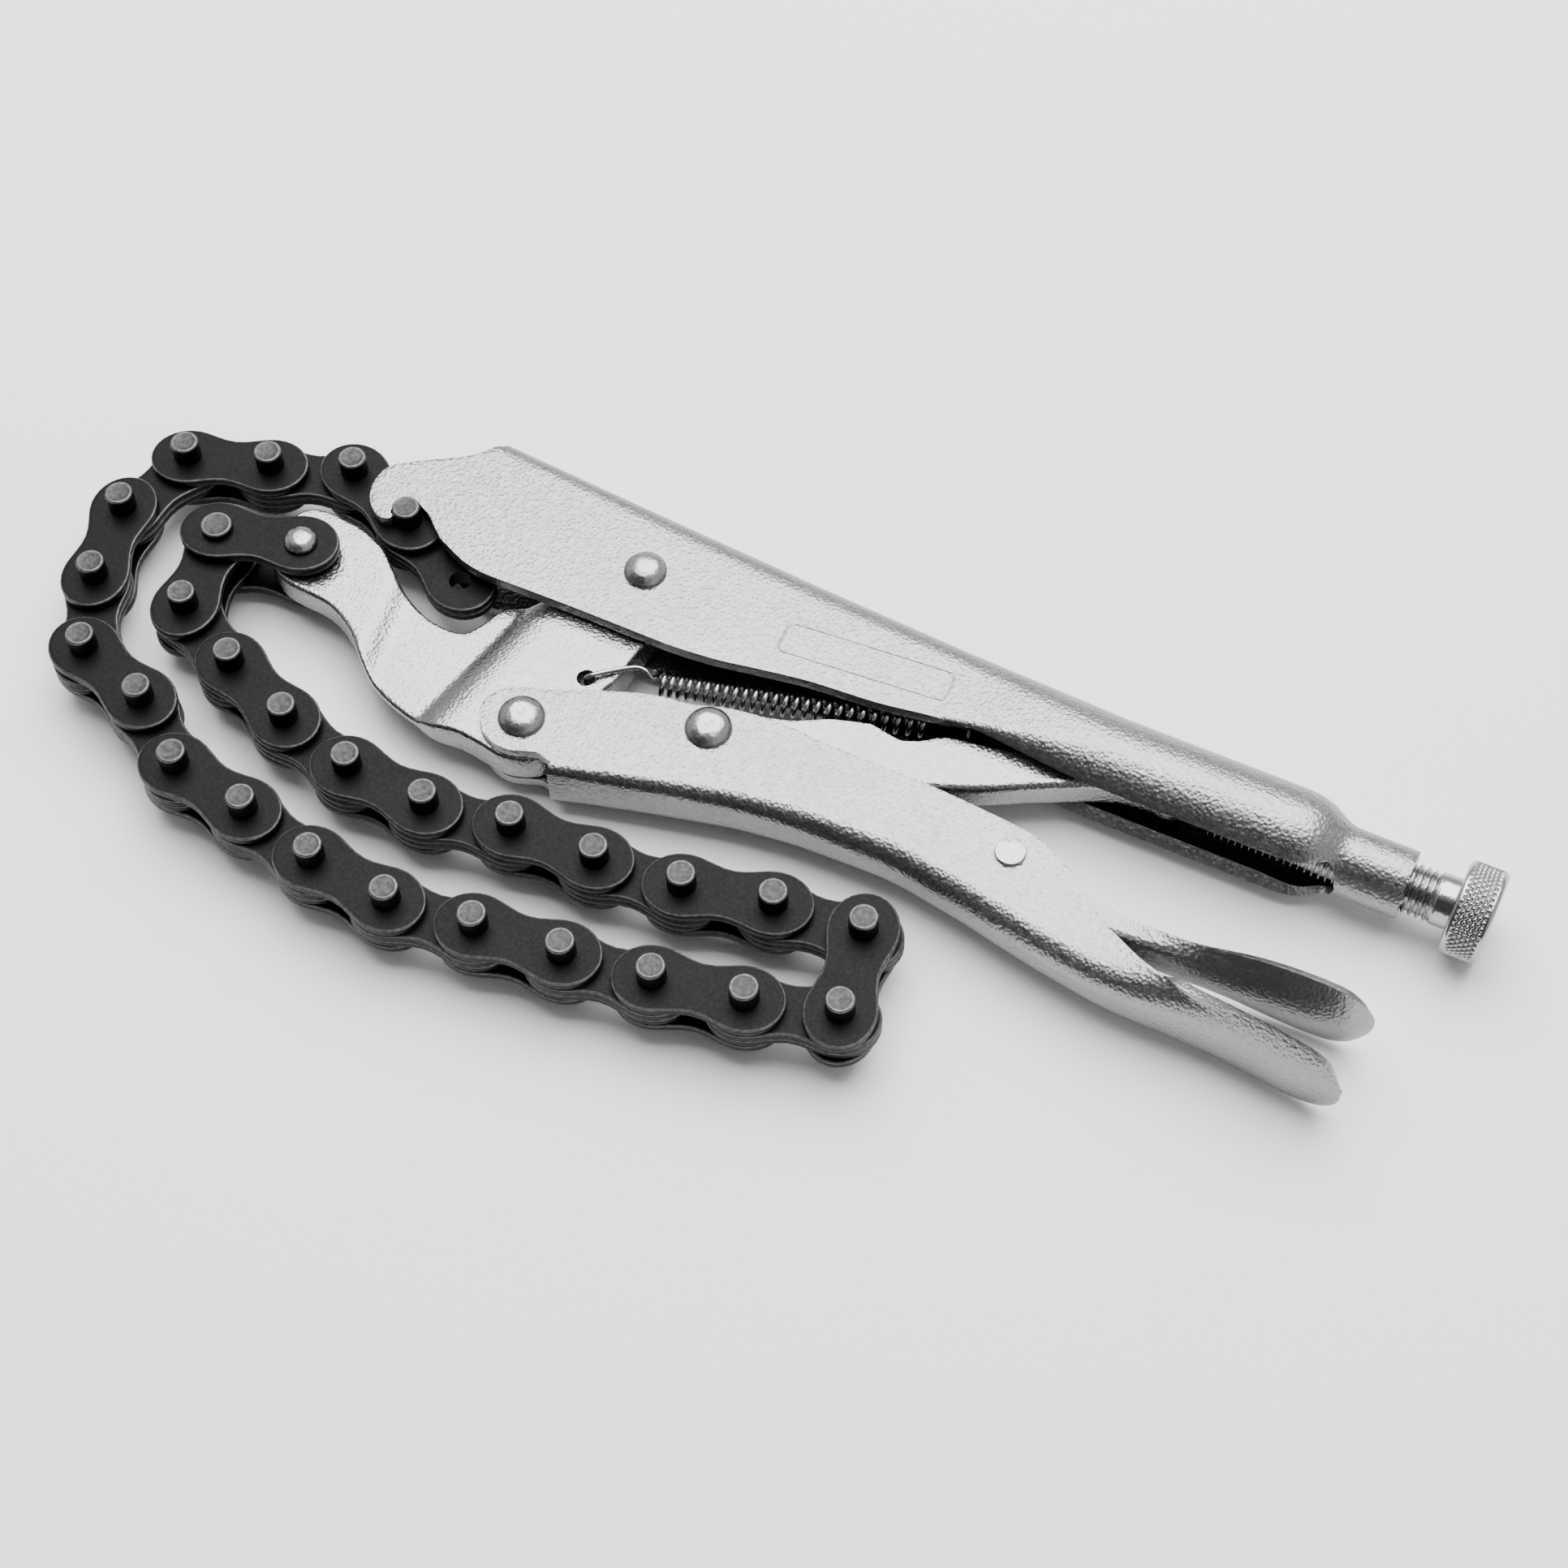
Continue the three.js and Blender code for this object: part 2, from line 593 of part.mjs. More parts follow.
/** The inside of a station, one sheet in from its outside. */
function hollow(station, sheet, least) {
  const half = Math.max(station.half - sheet, least);
  const middle = (station.top + station.bottom) / 2;
  const closed = station.bottom !== OPEN_BOTTOM;
  return {
    x: station.x,
    half,
    top: Math.max(station.top - sheet, closed ? middle + least : -Infinity),
    bottom: closed ? Math.min(station.bottom + sheet, middle - least) : station.bottom,
    topRound: Math.max(station.topRound - sheet, sheet / 2),
    bottomRound: Math.max(station.bottomRound - sheet, FIT_GAP),
  };
}

function upperCavity() {
  const inside = handleStations.map((station) => hollow(station, UPPER_SHEET, SCREW_BORE_RADIUS / 2));
  inside[0].x = -SPINE_START;
  inside.splice(1, 1);
  const shares = SLOT_SHARES.slice(1);
  const slots = inside.map((station, i) => {
    const half = Math.min(shares[i] * TUBE_SLOT_HALF, station.half - FIT_GAP / 2);
    return { half, mouth: 2 * OPEN_BOTTOM };
  });
  return sectionLoft(inside, slots);
}

/** Notch in the nose for the hooked pin, with one steep and one slanting side. */
function hookNotch() {
  const radius = PIN_RADIUS + NOTCH_CLEARANCE;
  const corner = (degrees, side) => {
    const start = HOOK.clone().addScaledVector(heading(degrees + side), radius);
    return [start, start.clone().addScaledVector(heading(degrees), 2 * NOTCH_LENGTH)];
  };
  const [steepTop, steepEnd] = corner(NOTCH_STEEP_HEADING, -90);
  const [slantTop, slantEnd] = corner(NOTCH_SLANT_HEADING, 90);
  const mouth = slab([HOOK, steepTop, steepEnd, slantEnd, slantTop], UPPER_HALF + OVERRUN);
  return mouth.add(bar(HOOK, radius, UPPER_HALF + OVERRUN, RIVET_SIDES));
}

/** Side view of the upper handle: the nose, the cheeks' lower edge and room for the rest. */
function upperProfile() {
  const noseShares = [[0.87, 2.46], [0.5, 2.13], [0.12, 1.74], [-1, 1], [-1, 0.27], [-0.33, -0.285]];
  const nose = outline(noseShares, NOSE_AHEAD, NOSE_AHEAD, HOOK);
  const frontShares = [[-1, -0.71], [-0.88, -0.873], [-0.774, -0.976], [-0.666, -1.016]];
  const front = outline(frontShares, SPINE_START, CHEEK_DROP);
  const edgeShares = [
    [0.16, -1], [0.313, -0.952], [0.462, -0.833], [0.623, -0.714], [0.822, -0.643], [1, -0.5],
  ];
  const edge = outline(edgeShares, CHANNEL_END, CHEEK_DROP);
  const high = 2 * SPINE_RISE;
  const [{ x: swellStart, bottom: swellBottom }] = swell;
  const room = [
    [swellStart, swellBottom - FIT_GAP], [swellStart, OPEN_BOTTOM],
    [HANDLE_REACH + OVERRUN, OPEN_BOTTOM], [HANDLE_REACH + OVERRUN, high], [-SPINE_START, high],
  ].map(([x, y]) => new THREE.Vector2(x, y));
  return [...nose, ...front, ...edge, ...room];
}

/** Tab lanced from the spine into the channel, with a hole for the spring's rear hook. */
function springTab() {
  const { x, y } = SPRING_TAB;
  const half = TAB_WIDTH / 2;
  const top = spineAt(x) - UPPER_SHEET / 2;
  const corners = [[x - half, y - half], [x + half, y - half], [x + half, top], [x - half, top]];
  return slab(corners.map((corner) => new THREE.Vector2(...corner)), TAB_THICK / 2);
}

function upperHandle() {
  const high = 2 * SPINE_RISE;
  const left = -2 * SPINE_START - OVERRUN;
  const noseSlot = [
    [left, OPEN_BOTTOM], [FIT_GAP - SPINE_START, OPEN_BOTTOM], [FIT_GAP - SPINE_START, high], [left, high],
  ].map((corner) => new THREE.Vector2(...corner));
  const boreProfile = [
    [NECK_START, 0], [NECK_START, SCREW_BORE_RADIUS], [HANDLE_REACH + OVERRUN, SCREW_BORE_RADIUS],
    [HANDLE_REACH + OVERRUN, 0],
  ];
  return sectionLoft([...handleStations, ...collarStations])
    .intersect(slab(upperProfile(), 2 * TUBE_RADIUS))
    .subtract(upperCavity())
    .subtract(slab(noseSlot, UPPER_INSIDE))
    .subtract(turnedAlongX(boreProfile, SCREW_SIDES))
    .subtract(hookNotch())
    .subtract(hole(JAW_PIVOT, JAW_RIVET_RADIUS + FIT_GAP, UPPER_HALF, RIVET_SIDES))
    .add(springTab())
    .subtract(hole(SPRING_TAB, TAB_HOLE_RADIUS, UPPER_INSIDE - OVERRUN, PIN_SIDES));
}

addPart('upper_handle', upperHandle(), STEEL);

// Lower handle

// Where the link's and the lever's pivots lie along the lower handle, as shares of its reach
const LINK_PIVOT_SHARE = 0.17;
const LEVER_PIVOT_SHARE = 0.558;

/** Place along X for a share of the lower handle's reach, through both of its pivots. */
function alongHandle(share) {
  if (share > LEVER_PIVOT_SHARE) {
    const past = (share - LEVER_PIVOT_SHARE) / (1 - LEVER_PIVOT_SHARE);
    return lerp(LEVER_PIVOT_REACH, LOWER_REACH, past);
  }
  const past = (share - LINK_PIVOT_SHARE) / (LEVER_PIVOT_SHARE - LINK_PIVOT_SHARE);
  if (past > 0) return lerp(LINK_PIVOT_REACH, LEVER_PIVOT_REACH, past);
  return (share / LINK_PIVOT_SHARE) * LINK_PIVOT_REACH;
}

const handleOutline = (shares, height) =>
  shares.map(([reach, rise]) => new THREE.Vector2(alongHandle(reach), rise * height));

// Shares for each station of the lower handle: of its reach, its back's and its lip's of the
// pivot's drop, its half width's of the body's and of the tail's, its rounding's of the body's half
// width, and its flatness
const LOWER_SHARES = [
  [-0.1, 1.3, 0.55, 1, 0, 0.17, 0],
  [0.024, 1.21, 0.55, 1, 0, 0.17, 0],
  [0.1, 1.131, 0.61, 1, 0, 0.35, 0],
  [0.132, 1.1, 0.6, 1, 0, 0.35, 0],
  [0.185, 1.05, 0.531, 1, 0, 0.4, 0],
  [0.243, 1, 0.507, 1, 0, 0.5, 0],
  [0.319, 0.964, 0.52, 1, 0, 0.5, 0],
  [0.417, 0.956, 0.52, 1, 0, 0.6, 0],
  [0.517, 1.005, 0.542, 1, 0, 0.67, 0],
  [0.569, 1.045, 0.564, 1, 0, 0.67, 0],
  [0.615, 1.082, 0.635, 1, 0, 0.67, 0],
  [0.655, 1.113, 0.744, 1, 0, 0.67, 0],
  [0.684, 1.132, 0.845, 0.97, 0.03, 0.67, 0],
  [0.713, 1.144, 0.91, 0.75, 0.25, 0.67, 0.1],
  [0.745, 1.149, 0.978, 0.5, 0.5, 0.67, 0.3],
  [0.778, 1.151, 1.027, 0.25, 0.75, 0.67, 0.6],
  [0.813, 1.145, 1.068, 0.08, 0.92, 0.67, 0.9],
  [0.848, 1.146, 1.079, 0, 1, 0.67, 1],
  [0.881, 1.155, 1.09, 0, 1, 0.67, 1],
  [0.908, 1.166, 1.1, 0, 0.99, 0.67, 1],
  [0.935, 1.18, 1.114, 0, 0.96, 0.67, 1],
  [0.955, 1.182, 1.123, 0, 0.89, 0.67, 1],
  [0.976, 1.177, 1.134, 0, 0.72, 0.67, 1],
  [0.991, 1.169, 1.142, 0, 0.46, 0.67, 1],
  [1, 1.166, 1.15, 0, 0.2, 0.67, 1],
];
const lowerStations = LOWER_SHARES.map(([reach, back, lip, body, tail, rounding, flatness]) => ({
  x: alongHandle(reach),
  half: body * LOWER_HALF + tail * LOWER_TAIL_HALF,
  back: back * HANDLE_PIVOT_DROP,
  lip: lip * HANDLE_PIVOT_DROP,
  rounding: rounding * LOWER_HALF,
  flatness,
}));

/** Side view of the lower handle: its rounded front end and room for the rest. */
function lowerProfile() {
  const frontShares = [[-0.083, -0.967], [-0.08, -0.888], [-0.045, -0.817], [0.034, -0.703], [0.1, -0.61]];
  const roomShares = [[0.1, 0], [1.02, 0], [1.02, -1.6], [0.024, -1.6], [0.024, -1.18], [0, -1.16]];
  return [HANDLE_PIVOT, ...handleOutline([...frontShares, ...roomShares], HANDLE_PIVOT_DROP)];
}

function lowerHandle() {
  const front = [
    [-LOWER_REACH, OPEN_BOTTOM], [-LOWER_REACH, -2 * HANDLE_PIVOT_DROP],
    [LOWER_WEB_START, -2 * HANDLE_PIVOT_DROP], [LOWER_WEB_START, OPEN_BOTTOM],
  ].map((corner) => new THREE.Vector2(...corner));
  const eye = slab(disc(HANDLE_PIVOT, LOWER_EYE_RADIUS, RIVET_SIDES), LOWER_HALF);
  const boreHole = (place, radius) => hole(place, radius + FIT_GAP, LOWER_HALF, RIVET_SIDES);
  return sheetLoft(lowerStations, LOWER_SHEET)
    .intersect(slab(lowerProfile(), 2 * LOWER_TAIL_HALF))
    .add(eye)
    .subtract(slab(front, LOWER_INSIDE))
    .subtract(boreHole(HANDLE_PIVOT, HANDLE_RIVET_RADIUS))
    .subtract(boreHole(LINK_PIVOT, HANDLE_RIVET_RADIUS))
    .subtract(boreHole(LEVER_PIVOT, LEVER_PIN_RADIUS));
}

addPart('lower_handle', lowerHandle(), STEEL);

// Toggle link

/** Places along and across the line from the link's pivot to its end, as shares of its length. */
function linkOutline(shares, lift) {
  const length = LINK_END.distanceTo(LINK_PIVOT);
  const along = LINK_END.clone().sub(LINK_PIVOT).normalize();
  const across = new THREE.Vector2(-along.y, along.x);
  return shares.map(([reach, side]) =>
    LINK_PIVOT.clone()
      .addScaledVector(along, reach * length)
      .addScaledVector(across, side * length + lift),
  );
}

function toggleLink() {
  const underShares = [
    [0, -0.06], [0.082, -0.064], [0.236, -0.071], [0.404, -0.074], [0.56, -0.066],
    [0.728, -0.037], [0.879, -0.012],
  ];
  const endShares = [[0.95, -0.03], [1, 0], [0.97, 0.049]];
  const backShares = [
    [0.831, 0.042], [0.646, 0.042], [0.505, 0.058], [0.457, 0.043],
    [0.416, 0.038], [0.38, 0.053], [0.337, 0.073], [0.27, 0.074], [0.161, 0.059], [0, 0.06],
  ];
  const troughShares = underShares.slice(1);
  const mouthShares = [[0.879, 1], [0.082, 1]];
  const trough = [...linkOutline(troughShares, LINK_SHEET), ...linkOutline(mouthShares, 0)];
  return slab(linkOutline([...underShares, ...endShares, ...backShares], 0), LINK_HALF)
    .subtract(slab(trough, LINK_HALF - LINK_SHEET))
    .add(bar(LINK_PIVOT, LINK_EYE_RADIUS, LINK_HALF, RIVET_SIDES))
    .add(bar(LINK_END, LINK_END_RADIUS, LINK_HALF, RIVET_SIDES))
    .subtract(hole(LINK_PIVOT, HANDLE_RIVET_RADIUS + FIT_GAP, LINK_HALF, RIVET_SIDES));
}

addPart('toggle_link', toggleLink(), STEEL);

// Release lever

// Shares for each station of the lever: of the lower handle's reach, its back's and its lip's of
// the pivot's drop, its half width's of the body's and of the tail's, and its flatness
const LEVER_SHARES = [
  [0.42, 1.03, 0.895, 0.9, 0, 0],
  [0.448, 1.11, 0.865, 1, 0, 0],
  [0.558, 1.187, 0.845, 1, 0, 0],
  [0.61, 1.2, 0.926, 1, 0, 0],
  [0.657, 1.22, 1.04, 1, 0, 0],
  [0.7, 1.235, 1.07, 0.99, 0.01, 0.1],
  [0.731, 1.24, 1.09, 0.87, 0.13, 0.25],
  [0.765, 1.24, 1.11, 0.66, 0.34, 0.5],
  [0.8, 1.235, 1.118, 0.47, 0.53, 0.75],
  [0.825, 1.23, 1.118, 0.3, 0.7, 0.9],
  [0.85, 1.225, 1.114, 0.16, 0.84, 1],
  [0.881, 1.22, 1.113, 0.04, 0.96, 1],
  [0.93, 1.21, 1.113, 0, 1, 1],
  [0.955, 1.195, 1.113, 0, 0.96, 1],
  [0.979, 1.17, 1.106, 0, 0.8, 1],
  [0.996, 1.12, 1.085, 0, 0.5, 1],
  [1.005, 1.095, 1.07, 0, 0.16, 1],
];
const leverStations = LEVER_SHARES.map(([reach, back, lip, body, tail, flatness]) => ({
  x: alongHandle(reach),
  half: body * LEVER_HALF + tail * LEVER_TAIL_HALF,
  back: back * LEVER_PIVOT_DROP,
  lip: lip * LEVER_PIVOT_DROP,
  rounding: LEVER_HALF / 2,
  flatness,
}));

function releaseLever() {
  const bore = hole(LEVER_PIVOT, LEVER_PIN_RADIUS + FIT_GAP, LEVER_HALF, RIVET_SIDES);
  return sheetLoft(leverStations, LEVER_SHEET).subtract(bore);
}

addPart('release_lever', releaseLever(), STEEL);

// Adjusting screw and its knob

const KNOB_END = KNOB_START + KNOB_LENGTH;
const SPIGOT_END = KNOB_START + KNOB_LENGTH / 2;

function adjustingScrew() {
  const tip = LINK_END_REACH + LINK_END_RADIUS + SCREW_TIP_GAP;
  const shoulder = KNOB_START - FIT_GAP;
  const profile = [
    [tip, 0], [tip, SCREW_RADIUS - SCREW_TIP_ROUND], [tip + SCREW_TIP_ROUND, SCREW_RADIUS],
    [shoulder, SCREW_RADIUS], [shoulder, KNOB_SEAT_RADIUS],
    [SPIGOT_END - FIT_GAP, KNOB_SEAT_RADIUS], [SPIGOT_END - FIT_GAP, 0],
  ];
  return turnedAlongX(profile, SCREW_SIDES);
}

function adjustingKnob() {
  const bore = (KNOB_SEAT_RADIUS + FIT_GAP) / Math.cos(Math.PI / SCREW_SIDES);
  const rim = KNOB_RADIUS - KNOB_CHAMFER;
  const profile = [
    [KNOB_START, bore], [KNOB_START, rim], [KNOB_START + KNOB_CHAMFER, KNOB_RADIUS],
    [KNOB_END - KNOB_CHAMFER, KNOB_RADIUS], [KNOB_END, rim], [KNOB_END, 0],
    [SPIGOT_END, 0], [SPIGOT_END, bore], [KNOB_START, bore],
  ];
  return turnedAlongX(profile, SCREW_SIDES);
}

addPart('adjusting_screw', adjustingScrew(), STEEL);
addPart('adjusting_knob', adjustingKnob(), STEEL);

// Rivets and pins

/** Upright rivet with a head on both sides, from the outside of what it holds. */
function rivet(place, shank, head, outside, height, headShares) {
  const seat = outside + FIT_GAP;
  const side = headShares.map(([radius, rise]) => [seat + rise * height, radius * head]);
  const upper = [[seat, shank], [seat, head], ...side];
  const lower = upper.map(([level, radius]) => [-level, radius]).reverse();
  const points = [...lower, ...upper].map(([level, radius]) => new THREE.Vector2(radius, level));
  const geometry = new THREE.LatheGeometry(points, RIVET_SIDES);
  return toSolid(geometry.rotateX(Math.PI / 2).translate(place.x, place.y, 0));
}

// Shares of a head's radius and height, from its rim to its crown
const DOME_SHARES = [[0.92, 0.38], [0.7, 0.71], [0.38, 0.92], [0, 1]];
const FLAT_SHARES = [[0.9, 1], [0, 1]];

const handleRivet = (place) =>
  rivet(place, HANDLE_RIVET_RADIUS, HANDLE_RIVET_HEAD_RADIUS, LOWER_HALF, DOME_HEIGHT, DOME_SHARES);

addPart(
  'jaw_pivot_rivet',
  rivet(JAW_PIVOT, JAW_RIVET_RADIUS, JAW_RIVET_HEAD_RADIUS, UPPER_HALF, DOME_HEIGHT, DOME_SHARES),
  RIVET_STEEL,
);
addPart('handle_pivot_rivet', handleRivet(HANDLE_PIVOT), RIVET_STEEL);
addPart('link_pivot_rivet', handleRivet(LINK_PIVOT), RIVET_STEEL);
addPart(
  'lever_pivot_pin',
  rivet(
    LEVER_PIVOT, LEVER_PIN_RADIUS, LEVER_PIN_HEAD_RADIUS, LOWER_HALF, LEVER_PIN_HEAD_HEIGHT, FLAT_SHARES,
  ),
  RIVET_STEEL,
);
addPart(
  'chain_anchor_rivet',
  rivet(
    CHAIN_PIVOT, CHAIN_RIVET_RADIUS, CHAIN_RIVET_HEAD_RADIUS, FIRST_OUTSIDE, CHAIN_RIVET_HEAD_HEIGHT,
    DOME_SHARES,
  ),
  RIVET_STEEL,
);

// Return spring

/** Centre line of the spring: hook in the jaw, curls, hook in the handle's tab. */
function springPath() {
  const along = SPRING_REAR.clone().sub(SPRING_FRONT);
  const length = along.length();
  along.normalize();
  const across = new THREE.Vector2(-along.y, along.x);
  const place = (reach, side, height) => {
    const plan = SPRING_FRONT.clone().addScaledVector(along, reach).addScaledVector(across, side);
    return new THREE.Vector3(plan.x, plan.y, height);
  };
  const over = BODY_HALF + FIT_GAP + SPRING_WIRE_RADIUS;
  const beside = TAB_THICK / 2 + FIT_GAP + SPRING_WIRE_RADIUS;
  const hookReach = SPRING_HOLE.clone().sub(SPRING_FRONT);
  const inHole = (height) => new THREE.Vector3(SPRING_HOLE.x, SPRING_HOLE.y, height);
  const bendShares = [0.93, 0.97];
  const bend = place(hookReach.dot(along) * bendShares[0], hookReach.dot(across) * bendShares[1], over);
  const curled = (shares, start, height) =>
    shares.map(([reach, side, rise]) =>
      place(start + reach * SPRING_RADIUS, side * SPRING_RADIUS, rise * height),
    );
  const frontShares = [[-1.5, 0, 1], [-0.5, -0.5, 0.75]];
  const front = [inHole(-BODY_HALF), inHole(BODY_HALF), bend, ...curled(frontShares, 0, over)];
  const curls = [];
  for (let step = 0; step <= SPRING_CURLS * CURL_STEPS; step += 1) {
    const share = step / (SPRING_CURLS * CURL_STEPS);
    const angle = (2 * Math.PI * step) / CURL_STEPS;
    const reach = length * share * lerp(CLOSE_PITCH_SHARE, 1, share);
    curls.push(place(reach, SPRING_RADIUS * Math.sin(angle), SPRING_RADIUS * Math.cos(angle)));
  }
  const tabReach = SPRING_TAB.clone().sub(SPRING_FRONT).length();
  const leavingShares = [[0.7, 0.33, 1]];
  const besideShares = [[1.5, 0, 1]];
  const tabShares = [[-0.5, 0, 1], [0, 0, 0.5], [0, 0, -1]];
  const rear = [
    ...curled(leavingShares, length, SPRING_RADIUS),
    ...curled(besideShares, length, beside),
    ...curled(tabShares, tabReach, beside),
  ];
  return [...front, ...curls, ...rear];
}

/** Unbroken round wire along a centre line. */
function wire(path, radius, sides) {
  const tangents = path.map((_, i) => {
    const before = path[Math.max(i - 1, 0)];
    const after = path[Math.min(i + 1, path.length - 1)];
    return after.clone().sub(before).normalize();
  });
  const normal = new THREE.Vector3(tangents[0].y, -tangents[0].z, tangents[0].x);
  const rings = path.map((point, i) => {
    normal.addScaledVector(tangents[i], -normal.dot(tangents[i])).normalize();
    const side = new THREE.Vector3().crossVectors(tangents[i], normal);
    return Array.from({ length: sides }, (_, k) => {
      const angle = (2 * Math.PI * k) / sides;
      return point
        .clone()
        .addScaledVector(normal, radius * Math.cos(angle))
        .addScaledVector(side, radius * Math.sin(angle));
    });
  });
  return loft(rings, [path[0], path[path.length - 1]]);
}

/** Least clear space between stretches of wire more than half a curl apart. */
function leastGap(path, radius) {
  let least = Infinity;
  for (let i = 0; i < path.length; i += 1) {
    for (let j = i + CURL_STEPS / 2 + 1; j < path.length; j += 1) {
      least = Math.min(least, path[i].distanceTo(path[j]) - 2 * radius);
    }
  }
  return least;
}

const spring = springPath();
console.log(`return_spring: least gap to itself ${leastGap(spring, SPRING_WIRE_RADIUS).toFixed(2)} mm`);
addPart('return_spring', wire(spring, SPRING_WIRE_RADIUS, WIRE_SIDES), SPRING_STEEL);

// The finished part rests with the middle of its underside on the origin
const bounds = new THREE.Box3().setFromObject(parts);
const middle = bounds.getCenter(new THREE.Vector3());
parts.position.set(-middle.x, -middle.y, -bounds.min.z);
const clamp = new THREE.Group();
clamp.add(parts);

export default clamp;
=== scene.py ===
"""Chain clamp: locking pliers with a leaf chain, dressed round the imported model.

Every size is in millimetres in the tool's own frame: the jaw pivot is the origin, +X runs along
the adjusting screw to its knob, +Y towards the spine of the upper handle, and +Z up, square to
the tool, which lies on its side. Tool.place turns such points into metres in the row frame.
"""

import logging
import math
from dataclasses import dataclass, field
from enum import Enum
from typing import Callable, Sequence

import bmesh
import bpy
import numpy as np
from mathutils import Matrix, Vector
from mathutils.geometry import delaunay_2d_cdt


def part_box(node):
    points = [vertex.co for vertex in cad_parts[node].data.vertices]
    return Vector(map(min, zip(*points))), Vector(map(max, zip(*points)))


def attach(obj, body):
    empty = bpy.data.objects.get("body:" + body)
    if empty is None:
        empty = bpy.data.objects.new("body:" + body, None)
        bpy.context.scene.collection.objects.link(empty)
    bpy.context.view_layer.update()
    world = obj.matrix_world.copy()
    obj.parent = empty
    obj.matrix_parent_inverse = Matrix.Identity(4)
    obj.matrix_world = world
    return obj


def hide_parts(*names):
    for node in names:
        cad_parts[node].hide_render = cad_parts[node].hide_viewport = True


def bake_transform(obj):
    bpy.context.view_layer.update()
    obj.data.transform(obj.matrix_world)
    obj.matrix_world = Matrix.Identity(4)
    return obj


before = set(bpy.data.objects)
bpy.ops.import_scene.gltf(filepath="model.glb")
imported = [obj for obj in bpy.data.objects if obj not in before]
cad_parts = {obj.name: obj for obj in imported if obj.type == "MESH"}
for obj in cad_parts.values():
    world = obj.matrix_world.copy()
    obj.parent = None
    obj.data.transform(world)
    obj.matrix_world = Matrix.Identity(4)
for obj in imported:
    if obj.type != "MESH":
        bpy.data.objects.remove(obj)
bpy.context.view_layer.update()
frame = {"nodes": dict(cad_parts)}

LOG = logging.getLogger("chain_clamp")
MM = 0.001
WELD = 0.002 * MM
SHARP_ANGLE = math.radians(42.0)
Array = np.ndarray
Pairs = tuple[tuple[float, float], ...]

# Places in plan that several pieces share, and where both spoons start along X
CHAIN_PIVOT = (-59.8, -20.6)
LINK_PIVOT = (25.1, -24.9)
SPRING_HOLE = (0.0, -23.3)
SPOON_START = 139.0


def linear(code: str) -> tuple[float, float, float, float]:
    """Turns an sRGB hex colour into linear light.

    Args:
        code: six hex digits, with or without a leading hash.

    Returns:
        Red, green, blue and an alpha of one.
    """
    digits = code.lstrip("#")
    parts = [int(digits[i : i + 2], 16) / 255.0 for i in (0, 2, 4)]
    red, green, blue = (c / 12.92 if c <= 0.04045 else ((c + 0.055) / 1.055) ** 2.4 for c in parts)
    return red, green, blue, 1.0


def monotone(x: Array, xs: Sequence[float], ys: Sequence[float]) -> Array:
    """Smooth curve through a table of values, which never swings past them.

    Piecewise cubics whose slope at each entry is the harmonic mean of its two neighbours'
    slopes, or zero where these differ in sign.

    Args:
        x: places to read the curve at.
        xs: places in the table, rising.
        ys: values in the table.

    Returns:
        The values at x, held level outside the table.
    """
    at, value = np.asarray(xs, float), np.asarray(ys, float)
    step, rise = np.diff(at), np.diff(value)
    slope = rise / step
    inner = np.where(
        slope[:-1] * slope[1:] > 0,
        2 * slope[:-1] * slope[1:] / (slope[:-1] + slope[1:] + 1e-12),
        0.0,
    )
    tangent = np.concatenate([slope[:1], inner, slope[-1:]])
    place = np.clip(np.asarray(x, float), at[0], at[-1])
    k = np.clip(np.searchsorted(at, place, side="right") - 1, 0, len(step) - 1)
    t = (place - at[k]) / step[k]
    return (
        (1 + 2 * t) * (1 - t) ** 2 * value[k]
        + t * (1 - t) ** 2 * step[k] * tangent[k]
        + t**2 * (3 - 2 * t) * value[k + 1]
        + t**2 * (t - 1) * step[k] * tangent[k + 1]
    )


def read_table(x: float, table: Pairs) -> float:
    """Smooth value at x of a table of places and values."""
    places, values = zip(*table)
    return float(monotone(x, places, values))


def smoothstep(value: Array, low: float, high: float) -> Array:
    """Rises from 0 at low to 1 at high, level at both ends."""
    t = np.clip((value - low) / (high - low), 0.0, 1.0)
    return t * t * (3 - 2 * t)


def spline(points: Sequence[Sequence[float]], steps: int, closed: bool) -> Array:
    """Curve through points in plan or space, by Catmull and Rom's cubic with even tension.

    Args:
        points: the points it passes through.
        steps: samples for each stretch between two points.
        closed: whether it returns to its first point.

    Returns:
        The samples, without a repeated end on a closed curve.
    """
    p = np.asarray(points, float)
    if closed:
        a, b, c, d = np.roll(p, 1, 0), p, np.roll(p, -1, 0), np.roll(p, -2, 0)
    else:
        full = np.concatenate([[2 * p[0] - p[1]], p, [2 * p[-1] - p[-2]]])
        a, b, c, d = full[:-3], full[1:-2], full[2:-1], full[3:]
    t = (np.arange(steps) / steps)[None, :, None]
    a, b, c, d = (q[:, None, :] for q in (a, b, c, d))
    curve = 0.5 * (
        2 * b + (c - a) * t + (2 * a - 5 * b + 4 * c - d) * t**2 + (3 * b - a - 3 * c + d) * t**3
    )
    curve = curve.reshape(-1, p.shape[1])
    return curve if closed else np.concatenate([curve, p[-1:]])


def even(points: Array, count: int) -> Array:
    """Samples an open curve at equal distances along it.

    Args:
        points: the curve's points.
        count: how many samples to return, its ends among them.

    Returns:
        The samples.
    """
    run = np.concatenate([[0.0], np.cumsum(np.linalg.norm(np.diff(points, axis=0), axis=1))])
    at = np.linspace(0.0, run[-1], count)
    return np.stack([np.interp(at, run, points[:, i]) for i in range(points.shape[1])], 1)


def heading(degrees: float) -> Array:
    """Unit vector in plan at an angle from +X."""
    return np.array([math.cos(math.radians(degrees)), math.sin(math.radians(degrees))])


